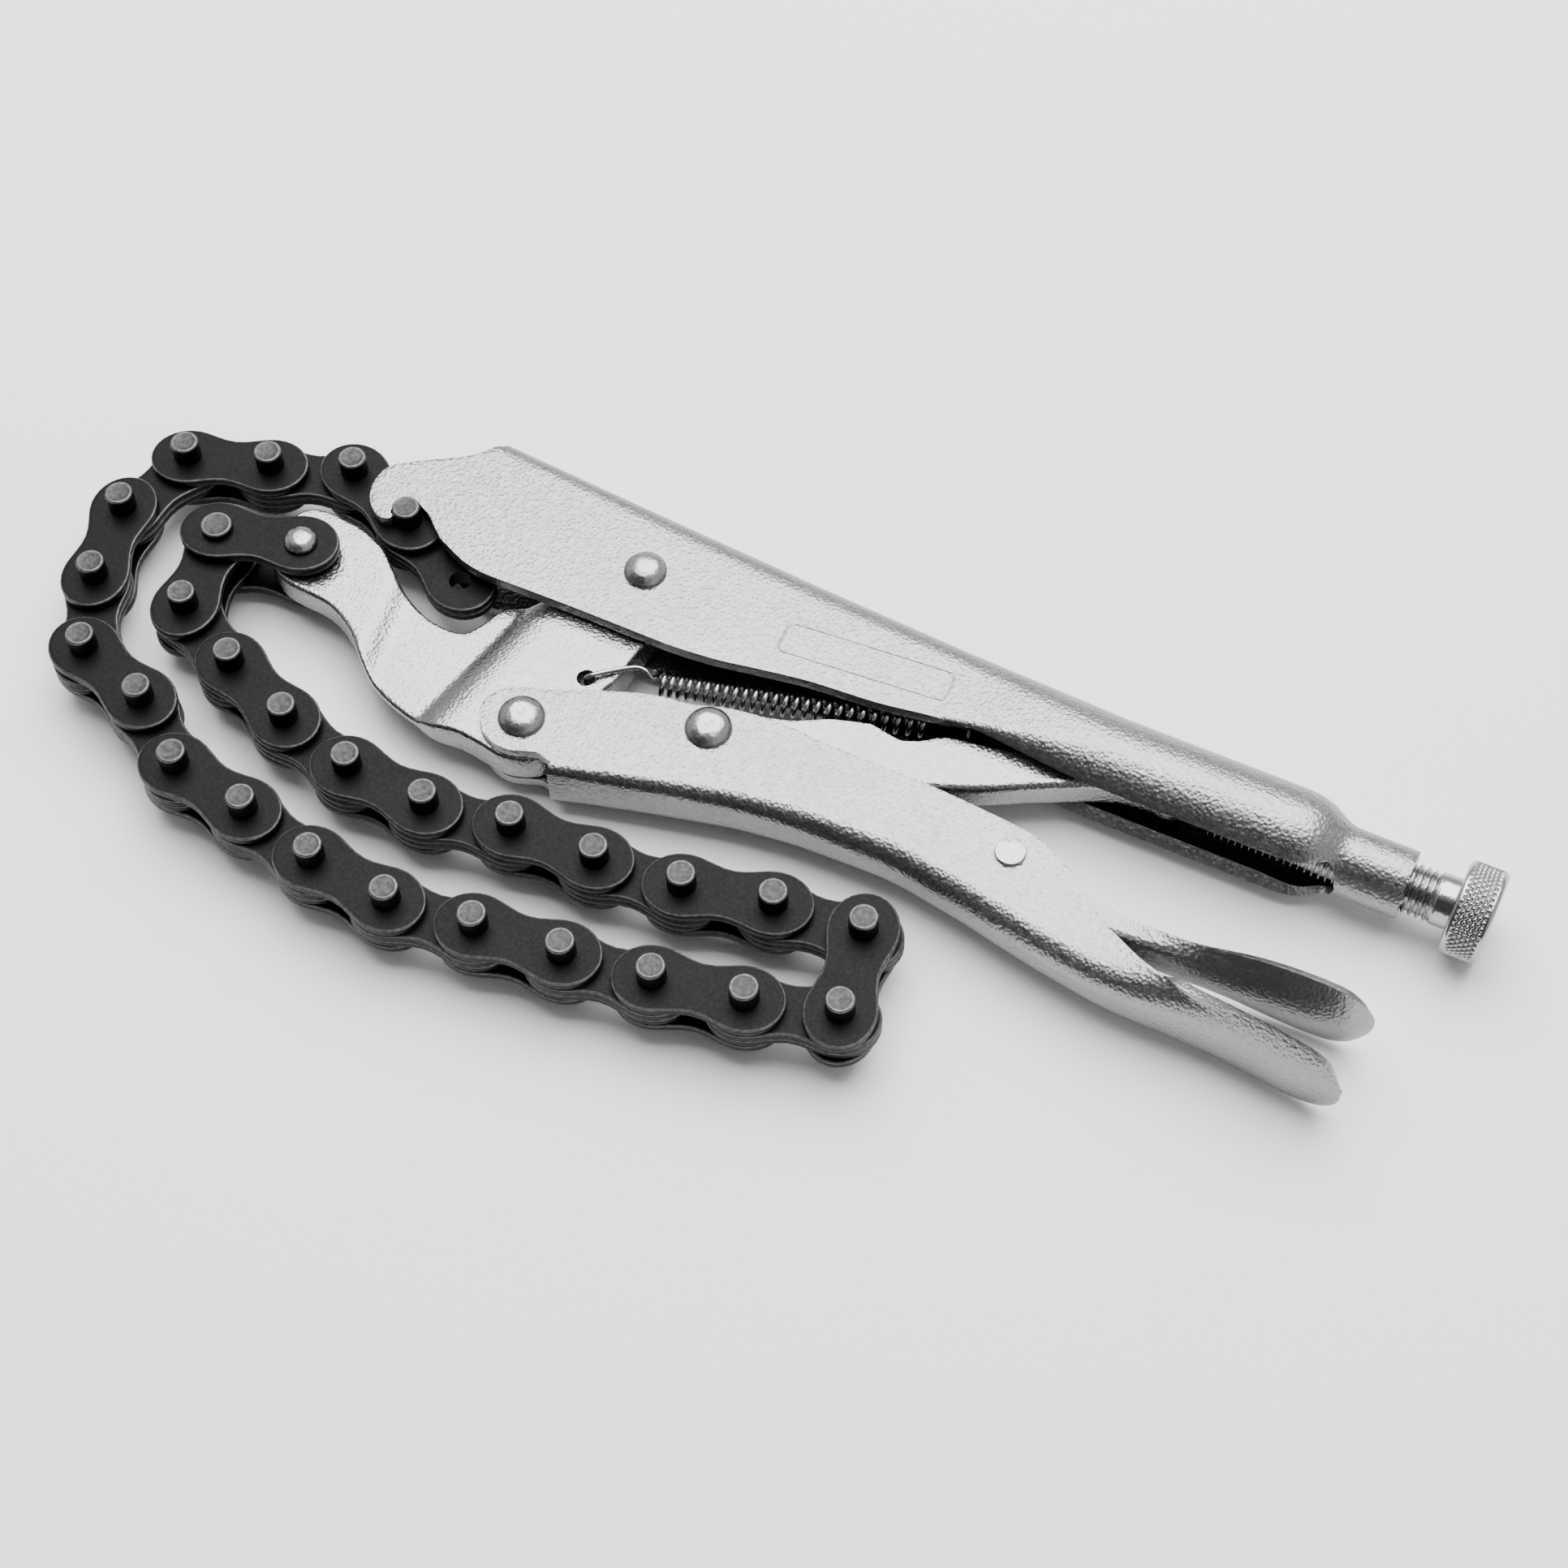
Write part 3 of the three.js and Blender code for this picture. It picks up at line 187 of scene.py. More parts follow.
def left_of(direction: Array) -> Array:
    """Turns a direction in plan by a quarter turn anticlockwise."""
    return np.array([-direction[1], direction[0]])


def raised(plan: Array, height: Array | float) -> Array:
    """Joins places in plan with their heights, or with one height for all."""
    upright = np.broadcast_to(np.asarray(height, float)[..., None], (*plan.shape[:-1], 1))
    return np.concatenate([plan, upright], -1)


def quarter(radius: float, count: int) -> tuple[Array, Array]:
    """Quarter round from a wall to a face: how far each point draws in, and falls short."""
    angle = np.linspace(0, math.pi / 2, count)
    return radius * (1 - np.cos(angle)), radius * (1 - np.sin(angle))


def runs(stops: Sequence[float], counts: Sequence[int]) -> Array:
    """Rising places, spread evenly from each stop to the next."""
    spans = zip(stops, stops[1:], counts)
    return np.unique(np.concatenate([np.linspace(*span) for span in spans]))


def circle(centre: Sequence[float], radius: float, count: int) -> Array:
    """Points of a circle in plan, anticlockwise."""
    angle = np.linspace(0.0, 2 * math.pi, count, endpoint=False)
    return np.asarray(centre, float) + radius * np.stack([np.cos(angle), np.sin(angle)], 1)


def inside(points: Array, loop: Array) -> Array:
    """Tells which points lie inside a closed loop, by counting crossings to the right.

    Args:
        points: places in plan.
        loop: corners of the loop.

    Returns:
        True for each point inside.
    """
    x, y = points[:, 0, None], points[:, 1, None]
    a, b = loop, np.roll(loop, -1, 0)
    spans = (a[:, 1] > y) != (b[:, 1] > y)
    rise = np.where(b[:, 1] == a[:, 1], 1.0, b[:, 1] - a[:, 1])
    at = (b[:, 0] - a[:, 0]) * (y - a[:, 1]) / rise + a[:, 0]
    return (spans & (x < at)).sum(1) % 2 == 1


def nearest(points: Array, loop: Array) -> Array:
    """Distance from each point to a closed loop of straight sides."""
    a, b = loop, np.roll(loop, -1, 0)
    side = b - a
    share = ((points[:, None] - a) * side).sum(2) / ((side**2).sum(1) + 1e-12)
    foot = a + np.clip(share, 0, 1)[..., None] * side
    return np.linalg.norm(points[:, None] - foot, axis=2).min(1)


def inset(loop: Array, amount: float) -> Array:
    """Moves an anticlockwise loop inwards along its corner normals."""
    along = np.roll(loop, -1, 0) - np.roll(loop, 1, 0)
    along /= np.linalg.norm(along, axis=1)[:, None]
    return loop + amount * np.stack([-along[:, 1], along[:, 0]], 1)


def fill(outer: Array, holes: Sequence[Array], spacing: float) -> tuple[Array, Array]:
    """Covers the plan inside a loop with even triangles.

    A lattice of points inside is joined to the loops' own points by constrained Delaunay
    triangulation, and triangles outside the loop or inside a hole are dropped.

    Args:
        outer: the outer loop.
        holes: loops left open.
        spacing: distance between lattice points.

    Returns:
        Points in plan and triangles among them.
    """
    low, high = outer.min(0), outer.max(0)
    row = spacing * math.sqrt(3) / 2
    gx, gy = np.meshgrid(np.arange(low[0], high[0], spacing), np.arange(low[1], high[1], row))
    gx = gx + spacing / 2 * (np.arange(len(gy))[:, None] % 2)
    lattice = np.stack([gx.ravel(), gy.ravel()], 1)
    margin = 0.6 * spacing
    keep = inside(lattice, outer) & (nearest(lattice, outer) > margin)
    for hole in holes:
        keep &= ~inside(lattice, hole) & (nearest(lattice, hole) > margin)
    loops = [outer, *holes]
    edges, first = [], 0
    for loop in loops:
        index = first + np.arange(len(loop))
        edges += np.stack([index, np.roll(index, -1)], 1).tolist()
        first += len(loop)
    points = np.concatenate([*loops, lattice[keep]])
    found = delaunay_2d_cdt([Vector(p) for p in points.tolist()], edges, [], 0, 1e-6)
    flat = np.array([v[:] for v in found[0]])
    triangles = np.array([f for f in found[2] if len(f) == 3])
    middle = flat[triangles].mean(1)
    good = inside(middle, outer)
    for hole in holes:
        good &= ~inside(middle, hole)
    return flat, triangles[good]


class Tool:
    """The tool's own frame inside the row frame."""

    low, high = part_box("jaw_pivot_rivet")
    origin = np.array((low + high) / 2)

    @classmethod
    def place(cls, points: Array) -> Array:
        """Turns millimetres in the tool's frame into metres in the row frame."""
        return np.asarray(points, float) * MM + cls.origin


@dataclass
class Skin:
    """Faces of one piece, gathered patch by patch, with a wear value at each point."""

    points: list[Array] = field(default_factory=list)
    faces: list[list[int]] = field(default_factory=list)
    wear: list[Array] = field(default_factory=list)
    count: int = 0

    def add(self, points: Array, faces: Array, wear: Array | float = 0.0) -> None:
        """Adds points and the faces among them.

        Args:
            points: places in millimetres.
            faces: corner numbers, three or four to a face.
            wear: wear at each point, or one value for all.
        """
        flat = points.reshape(-1, 3)
        self.points.append(flat)
        self.wear.append(np.broadcast_to(np.asarray(wear, float).ravel(), (len(flat),)))
        self.faces += (np.asarray(faces) + self.count).tolist()
        self.count += len(flat)

    def grid(
        self, points: Array, wrap: bool = False, loop: bool = False, wear: Array | float = 0.0
    ) -> None:
        """Adds a grid of quads.

        Args:
            points: rows by columns by three.
            wrap: whether the last column joins the first.
            loop: whether the last row joins the first.
            wear: wear at each grid point, or one value for all.
        """
        rows, columns = points.shape[:2]
        r = np.arange(rows if loop else rows - 1)[:, None]
        c = np.arange(columns if wrap else columns - 1)[None, :]
        r1, c1 = (r + 1) % rows, (c + 1) % columns
        quads = [r * columns + c, r * columns + c1, r1 * columns + c1, r1 * columns + c]
        self.add(points, np.stack([q.ravel() for q in quads], 1), wear)

    def build(self, name: str, closed: bool = True) -> bpy.types.Object:
        """Makes the object: welds the patches and, on a closed piece, turns all faces outwards.

        Args:
            name: the piece's name.
            closed: whether the skin has no free edge.

        Returns:
            The new object, at the origin.
        """
        mesh = bpy.data.meshes.new(name)
        mesh.from_pydata(Tool.place(np.concatenate(self.points)), [], self.faces)
        mesh.attributes.new("wear", "FLOAT", "POINT").data.foreach_set(
            "value", np.concatenate(self.wear).astype(np.float32)
        )
        shell = bmesh.new()
        shell.from_mesh(mesh)
        bmesh.ops.remove_doubles(shell, verts=shell.verts, dist=WELD)
        bmesh.ops.dissolve_degenerate(shell, edges=shell.edges, dist=WELD)
        if closed:
            bmesh.ops.recalc_face_normals(shell, faces=shell.faces)
        shell.to_mesh(mesh)
        shell.free()
        mesh.shade_smooth()
        mesh.set_sharp_from_angle(angle=SHARP_ANGLE)
        piece = bpy.data.objects.new(name, mesh)
        bpy.context.scene.collection.objects.link(piece)
        return piece


def thicken(piece: bpy.types.Object, sheet: float, rim: float, weights: Array | None) -> None:
    """Gives an outer skin its sheet's thickness inwards, with rounded rims.

    Args:
        piece: the open skin.
        sheet: thickness in millimetres.
        rim: rounding of the sheet's free edges in millimetres.
        weights: share of the thickness at each vertex, or None for all of it everywhere.
    """
    wall = piece.modifiers.new("sheet", "SOLIDIFY")
    wall.thickness, wall.offset, wall.use_even_offset = sheet * MM, -1.0, False
    if weights is not None:
        group = piece.vertex_groups.new(name="sheet")
        for share in np.unique(weights):
            group.add(np.flatnonzero(weights == share).tolist(), float(share), "REPLACE")
        wall.vertex_group = group.name
    bevel = piece.modifiers.new("rim", "BEVEL")
    bevel.width, bevel.segments, bevel.limit_method = rim * MM, 3, "ANGLE"
    bevel.angle_limit, bevel.use_clamp_overlap = math.radians(55), True
    graph = bpy.context.evaluated_depsgraph_get()
    mesh = bpy.data.meshes.new_from_object(piece.evaluated_get(graph))
    piece.modifiers.clear()
    piece.vertex_groups.clear()
    piece.data = mesh
    mesh.shade_smooth()
    mesh.set_sharp_from_angle(angle=SHARP_ANGLE)


def lathe(
    skin: Skin, place: Sequence[float], profile: Array, sides: int, wear: Array | float = 0.0
) -> None:
    """Turns a profile about an upright axis.

    Args:
        skin: where the faces go.
        place: the axis in plan.
        profile: rows of radius and height.
        sides: facets round the axis.
        wear: wear at each row, or one value for all.
    """
    angle = np.linspace(0.0, 2 * math.pi, sides, endpoint=False)
    radius, height = profile[:, 0, None], profile[:, 1, None]
    ring = [place[0] + radius * np.cos(angle), place[1] + radius * np.sin(angle)]
    rows = np.stack([*ring, np.broadcast_to(height, ring[0].shape)], 2)
    spread = np.broadcast_to(np.reshape(wear, (-1, 1)), rows.shape[:2])
    skin.grid(rows, wrap=True, wear=spread)


def sweep(skin: Skin, path: Array, radius: float, sides: int) -> None:
    """Round wire along a path, closed at both ends.

    Each ring stands square to the path, and is carried from the ring before without twist.

    Args:
        skin: where the faces go.
        path: centre line.
        radius: of the wire.
        sides: facets round the wire.
    """
    tangent = np.gradient(path, axis=0)
    tangent /= np.linalg.norm(tangent, axis=1)[:, None]
    normals = [np.cross(tangent[0], [0.0, 0.0, 1.0])]
    if np.linalg.norm(normals[0]) < 0.1:
        normals = [np.cross(tangent[0], [1.0, 0.0, 0.0])]
    for direction in tangent:
        kept = normals[-1] - direction * (normals[-1] @ direction)
        normals.append(kept / np.linalg.norm(kept))
    normal = np.array(normals[1:])
    side = np.cross(tangent, normal)
    angle = np.linspace(0.0, 2 * math.pi, sides, endpoint=False)[None, :, None]
    spokes = np.cos(angle) * normal[:, None] + np.sin(angle) * side[:, None]
    rings = path[:, None] + radius * spokes
    caps = [np.repeat(path[i][None, None], sides, 1) for i in (0, -1)]
    skin.grid(np.concatenate([caps[0], rings, caps[1]]), wrap=True)


# Finishes


def add_node(
    tree: bpy.types.NodeTree, kind: str, settings: dict | None = None, links: dict | None = None
) -> bpy.types.Node:
    """Adds a node with its settings and links.

    Args:
        tree: the node tree.
        kind: the node's type name.
        settings: properties by name, and socket values by socket name or number.
        links: output sockets by the name or number of the input that they feed.

    Returns:
        The node.
    """
    node = tree.nodes.new(kind)
    for key, value in (settings or {}).items():
        if isinstance(key, str) and hasattr(node, key):
            setattr(node, key, value)
        else:
            node.inputs[key].default_value = value
    for key, output in (links or {}).items():
        tree.links.new(output, node.inputs[key])
    return node


class Slot(Enum):
    """Material slots."""

    PLATED = "plated_steel"
    RIVET = "rivet_steel"
    SPRING = "spring_steel"
    CHAIN = "chain_steel"


@dataclass(frozen=True)
class Finish:
    """A metal surface: its colour, gloss, and the grain that tumbling or rolling left on it."""

    name: str
    slot: Slot
    colour: str
    tint: str
    roughness: float
    roughness_spread: float
    grain: float  # size of one pebble or grit mark, mm
    relief: float  # height of the grain, mm
    cloud: float = 14.0  # size of the slow changes of tone, mm
    metallic: float = 1.0
    worn: str = ""  # tone of edges rubbed bare
    face: str = ""  # tone of faces that are only half worn

    def tone(self, tree: bpy.types.NodeTree, at: bpy.types.NodeSocket) -> bpy.types.NodeSocket:
        """Colour over the surface: slow clouds, and the worn tones where the wear value is high.

        Args:
            tree: the material's nodes.
            at: object coordinates.

        Returns:
            The colour's socket.
        """
        cloud = add_node(
            tree, "ShaderNodeTexNoise",
            {"Scale": 1 / (self.cloud * MM), "Detail": 3.0}, {"Vector": at},
        )
        mix = add_node(
            tree, "ShaderNodeMix",
            {"data_type": "RGBA", 6: linear(self.colour), 7: linear(self.tint)},
            {0: cloud.outputs["Fac"]},
        )
        if not self.worn:
            return mix.outputs[2]
        wear = add_node(tree, "ShaderNodeAttribute", {"attribute_name": "wear"})
        mottle = add_node(
            tree, "ShaderNodeTexNoise", {"Scale": 1 / (0.9 * MM), "Detail": 4.0}, {"Vector": at}
        )
        shade = add_node(
            tree, "ShaderNodeMapRange",
            {"From Min": 0.35, "From Max": 0.65, "To Min": 0.55, "To Max": 1.0},
            {"Value": mottle.outputs["Fac"]},
        )
        ramp = add_node(tree, "ShaderNodeValToRGB", {}, {"Fac": wear.outputs["Fac"]})
        stops = ramp.color_ramp.elements
        stops[0].color, stops[1].color = (0.0, 0.0, 0.0, 1.0), linear(self.worn)
        stops.new(0.5).color = linear(self.face)
        rubbed = add_node(
            tree, "ShaderNodeVectorMath", {"operation": "SCALE"},
            {0: ramp.outputs["Color"], "Scale": shade.outputs["Result"]},
        )
        amount = add_node(
            tree, "ShaderNodeMapRange", {"From Max": 0.5}, {"Value": wear.outputs["Fac"]}
        )
        over = add_node(
            tree, "ShaderNodeMix", {"data_type": "RGBA"},
            {0: amount.outputs["Result"], 6: mix.outputs[2], 7: rubbed.outputs["Vector"]},
        )
        return over.outputs[2]

    def material(self) -> bpy.types.Material:
        """Builds the material: tone, uneven gloss and the grain as fine relief.

        Returns:
            The material.
        """
        made = bpy.data.materials.new(self.name)
        made.use_nodes = True
        tree = made.node_tree
        shader = tree.nodes["Principled BSDF"]
        at = add_node(tree, "ShaderNodeTexCoord").outputs["Object"]
        tree.links.new(self.tone(tree, at), shader.inputs["Base Color"])
        grain = add_node(
            tree, "ShaderNodeTexVoronoi",
            {"feature": "SMOOTH_F1", "Scale": 1 / (self.grain * MM), "Smoothness": 0.8},
            {"Vector": at},
        )
        patch = add_node(
            tree, "ShaderNodeTexNoise",
            {"Scale": 1 / (self.grain * 1.7 * MM), "Detail": 2.0}, {"Vector": at},
        )
        gloss = add_node(
            tree, "ShaderNodeMapRange",
            {
                "From Min": 0.3, "From Max": 0.7,
                "To Min": self.roughness - self.roughness_spread,
                "To Max": self.roughness + self.roughness_spread,
            },
            {"Value": patch.outputs["Fac"]},
        )
        tree.links.new(gloss.outputs["Result"], shader.inputs["Roughness"])
        bump = add_node(
            tree, "ShaderNodeBump", {"Strength": 1.0, "Distance": self.relief * MM},
            {"Height": grain.outputs["Distance"]},
        )
        tree.links.new(bump.outputs["Normal"], shader.inputs["Normal"])
        shader.inputs["Metallic"].default_value = self.metallic
        return made


# Nickel-plated pressed steel, barrel-tumbled: pale satin metal with an orange-peel grain
PLATED = Finish(
    "satin_nickel_plate", Slot.PLATED, "#868685", "#939392",
    roughness=0.34, roughness_spread=0.07, grain=0.6, relief=0.13,
)
# The same plate over forged steel, a little glossier and with a finer grain
FORGED = Finish(
    "nickel_plated_forging", Slot.PLATED, "#8A8A89", "#979796",
    roughness=0.27, roughness_spread=0.07, grain=0.55, relief=0.09,
)
# Headed steel rivets, bright from the punch, with light dents
RIVETED = Finish(
    "bright_rivet_steel", Slot.RIVET, "#A9A9A8", "#8E8E8D",
    roughness=0.27, roughness_spread=0.07, grain=0.7, relief=0.06, cloud=2.0,
)
# Zinc-plated screw and knob, turned: paler and glossier than the pressings
TURNED = Finish(
    "zinc_plated_turning", Slot.PLATED, "#ACACAC", "#9E9E9E",
    roughness=0.18, roughness_spread=0.06, grain=0.5, relief=0.02, cloud=5.0,
)
# Drawn spring wire, bright along its curls
WIRE = Finish(
    "drawn_spring_wire", Slot.SPRING, "#B4B4B4", "#9C9C9C",
    roughness=0.18, roughness_spread=0.04, grain=0.4, relief=0.01, cloud=4.0,
)
# Black-oxide chain steel: near-black satin, rubbed grey along edges and on the pins' ends
OXIDE = Finish(
    "black_oxide_chain_steel", Slot.CHAIN, "#101010", "#151515",
    roughness=0.46, roughness_spread=0.07, grain=0.35, relief=0.015, cloud=9.0,
    metallic=0.9, worn="#6E6E6E", face="#444444",
)
MATERIALS: dict[str, bpy.types.Material] = {}


def dress(piece: bpy.types.Object, finish: Finish, body: str, *nodes: str) -> bpy.types.Object:
    """Gives a piece its finish and its place on a body, in the stead of CAD nodes.

    Args:
        piece: the finished object.
        finish: its surface.
        body: the CAD body that carries it.
        nodes: CAD nodes that it stands for.

    Returns:
        The piece.
    """
    if finish.name not in MATERIALS:
        MATERIALS[finish.name] = finish.material()
    piece.data.materials.clear()
    piece.data.materials.append(MATERIALS[finish.name])
    if nodes:
        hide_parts(*nodes)
    if body:
        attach(piece, body)
    LOG.info("%s: %d faces on %s", piece.name, len(piece.data.polygons), body)
    return piece


# Chain

HEADINGS = (
    -166, -81.5, -27, -22, -15, -3.5, 9, 1.5, 5.5, 12.5, 7, -79, -163, -169, -172,
    -174, -173, 174, 167.5, 170, 145, 161.5, 116.5, 104, 73.5, 17, 20, -21.5, -25,
)
CHAIN_PITCH = 15.875
PINS = CHAIN_PIVOT + CHAIN_PITCH * np.concatenate(
    [[[0.0, 0.0]], np.cumsum([heading(h) for h in HEADINGS], axis=0)]
)
HOOK = PINS[-2]


@dataclass
class Plate:
    """A figure-eight chain plate between two pins."""

    half: float = 6.2
    waist: float = 4.7
    reach: float = 7.0
    rim: float = 0.4
    worn_band: float = 0.45
    wall_wear: float = 0.2
    face_wear: float = 0.12
    blank_span: float = 2.5  # stands for the hole's radius where a plate has none
    turns: int = 15
    hole_turns: int = 5
    sides: int = 7

    def stations(self, hole: float, far_hole: float) -> tuple[Array, Array]:
        """Outline and inner edge, station by station.

        The outline is a half ellipse round each pin, joined by sides that draw in to the waist
        as half a cosine wave. The inner edge is the holes' circles and the centre line between.

        Args:
            hole: radius of the hole at the first pin, or 0.
            far_hole: radius of the hole at the second pin, or 0.

        Returns:
            Outline and inner edge as rows of along and across, anticlockwise.
        """
        near_span, far_span = hole or self.blank_span, far_hole or self.blank_span
        share = np.sin(np.linspace(0, math.pi / 2, self.hole_turns))
        along = np.concatenate([
            near_span * share,
            np.linspace(near_span, CHAIN_PITCH - far_span, self.sides)[1:-1],
            CHAIN_PITCH - far_span * share[::-1],
        ])
        draw = (1 - np.cos(2 * math.pi * along / CHAIN_PITCH)) / 2
        side = self.half - (self.half - self.waist) * draw
        near_rise = np.sqrt(np.maximum(hole**2 - along**2, 0))
        rise = near_rise + np.sqrt(np.maximum(far_hole**2 - (CHAIN_PITCH - along) ** 2, 0))
        turn = np.linspace(-math.pi / 2, math.pi / 2, self.turns + 2)[1:-1]
        cos, sin = np.cos(turn), np.sin(turn)
        outer = np.concatenate([
            np.stack([along, -side], 1),
            np.stack([CHAIN_PITCH + self.reach * cos, self.half * sin], 1),
            np.stack([along, side], 1)[::-1],
            np.stack([-self.reach * cos, -self.half * sin], 1),
        ])
        inner = np.concatenate([
            np.stack([along, -rise], 1),
            np.stack([CHAIN_PITCH + far_hole * cos, far_hole * sin], 1),
            np.stack([along, rise], 1)[::-1],
            np.stack([-hole * cos, -hole * sin], 1),
        ])
        return outer, inner

    def add(
        self, skin: Skin, index: int, low: float, high: float, hole: float, far_hole: float
    ) -> None:
        """Adds one plate of a link.

        Rings run from the inner edge along the lower face, round the rim and back along the
        upper face.

        Args:
            skin: where the faces go.
            index: number of the link, from 0 at the jaw.
            low: height of the lower face.
            high: height of the upper face.
            hole: radius of the hole at the first pin, or 0.
            far_hole: radius of the hole at the second pin, or 0.
        """
        outer, inner = self.stations(hole, far_hole)
        draw, fall = quarter(self.rim, 4)
        upper = [(inset(outer, d), high - f, 1.0) for d, f in zip(draw, fall)]
        upper[0] = (*upper[0][:2], self.wall_wear)
        upper[-1] = (*upper[-1][:2], self.face_wear)
        upper.append((inset(outer, self.rim + self.worn_band), high, 0.0))
        upper.append((inner, high, 0.0))
        lower = [(ring, low + high - height, wear) for ring, height, wear in upper][::-1]
        wall = [(outer, (low + high) / 2, 0.0)]
        rings = lower + wall + upper
        direction = heading(HEADINGS[index])
        flat = np.array([ring for ring, _, _ in rings])
        plan = PINS[index] + flat[..., :1] * direction + flat[..., 1:] * left_of(direction)
        points = raised(plan, np.array([height for _, height, _ in rings])[:, None])
        wear = np.array([value for _, _, value in rings])[:, None]
        skin.grid(points, wrap=True, wear=np.broadcast_to(wear, points.shape[:2]))
        wide = np.abs(inner[:, 1]) > 1e-9
        on_hole = wide | np.roll(wide, 1) | np.roll(wide, -1)
        here = np.flatnonzero(on_hole & np.roll(on_hole, -1) & (wide | np.roll(wide, -1)))
        after = (here + 1) % len(inner)
        ends = np.concatenate([points[0], points[-1]])
        skin.add(ends, np.stack([here, after, after + len(inner), here + len(inner)], 1))


@dataclass
class Chain:
    """Twenty-nine links: heavy first link, outer links with pins, inner links face to face."""

    plate: Plate = field(default_factory=Plate)
    inner_half: float = 1.65
    split: float = 0.05
    outer_low: float = 1.95
    outer_high: float = 3.65
    first_low: float = 3.95
    first_high: float = 5.95
    pin_radius: float = 2.54
    pin_half: float = 7.8
    first_pin_radius: float = 2.87
    first_pin_half: float = 7.45
    hole_play: float = 0.12
    open_hole: float = 2.05
    anchor_hole: float = 2.62
    pin_sides: int = 40
    pin_rim: float = 0.4
    pin_dish: float = 0.1
    pin_land: float = 0.18  # flat ring between the rim and the dish
    pin_shadow: float = 0.25  # dark length of the side below the rim's worn edge
    pin_wear: tuple[float, ...] = (0.0, 0.0, 0.55, 1.0, 1.0, 0.95, 0.5, 0.5, 0.5)

    def pair(
        self, skin: Skin, index: int, near: float, far: float, hole: float, far_hole: float
    ) -> None:
        """Adds a link's two plates, alike above and below the mid-plane.

        Args:
            skin: where the faces go.
            index: number of the link, from 0 at the jaw.
            near: distance of the inner faces from the mid-plane.
            far: distance of the outer faces from the mid-plane.
            hole: radius of the holes at the first pin, or 0.
            far_hole: radius of the holes at the second pin, or 0.
        """
        for low, high in ((near, far), (-far, -near)):
            self.plate.add(skin, index, low, high, hole, far_hole)

    def pin(self, skin: Skin, place: Array, radius: float, half: float) -> None:
        """Pin with a rounded rim and a faintly dished end, dark on its side.

        Args:
            skin: where the faces go.
            place: its axis in plan.
            radius: of the pin.
            half: half its length.
        """
        draw, fall = quarter(self.pin_rim, 4)
        rim = np.stack([radius - draw, half - fall], 1)
        face_radius, dish = radius - self.pin_rim, half - self.pin_dish
        edge = (face_radius - self.pin_land, half - self.pin_dish / 2)
        shank = [(radius, 0.0), (radius, half - self.pin_rim - self.pin_shadow)]
        upper = np.concatenate([shank, rim, [edge, (face_radius / 2, dish), (0, dish)]])
        profile = np.concatenate([(upper * [1, -1])[:0:-1], upper])
        wear = np.concatenate([self.pin_wear[:0:-1], self.pin_wear])
        lathe(skin, place, profile, self.pin_sides, wear)

    def link(self, index: int) -> None:
        """Makes one link.

        Args:
            index: its number, from 0 at the jaw.
        """
        skin = Skin()
        name = f"link_{index + 1:02d}"
        pin_hole = self.pin_radius + self.hole_play
        if index == 0:
            self.pair(skin, index, self.first_low, self.first_high, self.anchor_hole, 0.0)
            self.pin(skin, PINS[1], self.first_pin_radius, self.first_pin_half)
        elif index % 2:
            first = self.first_pin_radius + self.hole_play if index == 1 else 0.0
            self.pair(skin, index, self.outer_low, self.outer_high, first, 0.0)
            for pin in (index, index + 1) if index > 1 else (index + 1,):
                self.pin(skin, PINS[pin], self.pin_radius, self.pin_half)
        else:
            far = self.open_hole if index == len(HEADINGS) - 1 else pin_hole
            self.pair(skin, index, self.split, self.inner_half, pin_hole, far)
        dress(skin.build(name), OXIDE, f"chain_{name}", f"chain_{name}")

    def make(self) -> None:
        """Makes all links, each a piece of its own."""
        for index in range(len(HEADINGS)):
            self.link(index)


# Rivets


@dataclass
class Rivet:
    """An upright rivet with a head on both sides of what it holds."""

    node: str
    body: str
    place: tuple[float, float]
    shank: float
    head: float
    seat: float
    height: float
    dimple: float = 0.0
    flat: bool = False
    sides: int = 64
    skirt: float = 0.12  # upright edge at the dome's foot
    powers: tuple[float, float] = (0.85, 1.1)  # how full the dome's quarter ellipse is
    foot_share: float = 0.97  # radius under the dome's edge, as a share of the head's
    dimple_share: float = 0.22  # width of the dimple, as a share of the head's radius
    flat_edge: float = 0.25  # rounding of a flat head, as a share of its height

    def make(self) -> None:
        """Turns the rivet: domes are flattened quarter ellipses, with a dimple at the crown."""
        turn = np.linspace(0, math.pi / 2, 14)
        if self.flat:
            edge, bend = self.flat_edge * self.height, turn[::4]
            radius = np.concatenate([[self.head], self.head - edge * (1 - np.cos(bend)), [0.0]])
            rise = np.concatenate([[0.0], self.height - edge * (1 - np.sin(bend)), [self.height]])
        else:
            radius = self.head * np.cos(turn) ** self.powers[0]
            rise = self.height * np.sin(turn) ** self.powers[1]
            radius = np.concatenate([[self.head * self.foot_share], radius])
            rise = np.concatenate([[-self.skirt], rise]) + self.skirt
            rise *= self.height / (self.height + self.skirt)
            rise -= self.dimple * np.exp(-((radius / (self.dimple_share * self.head)) ** 2))
        upper = np.stack([np.append(self.shank, radius), self.seat + np.append(0.0, rise)], 1)
        lower = (upper * [1, -1])[::-1]
        skin = Skin()
        lathe(skin, self.place, np.concatenate([lower, upper]), self.sides)
        dress(skin.build(f"{self.node}_headed"), RIVETED, self.body, self.node)


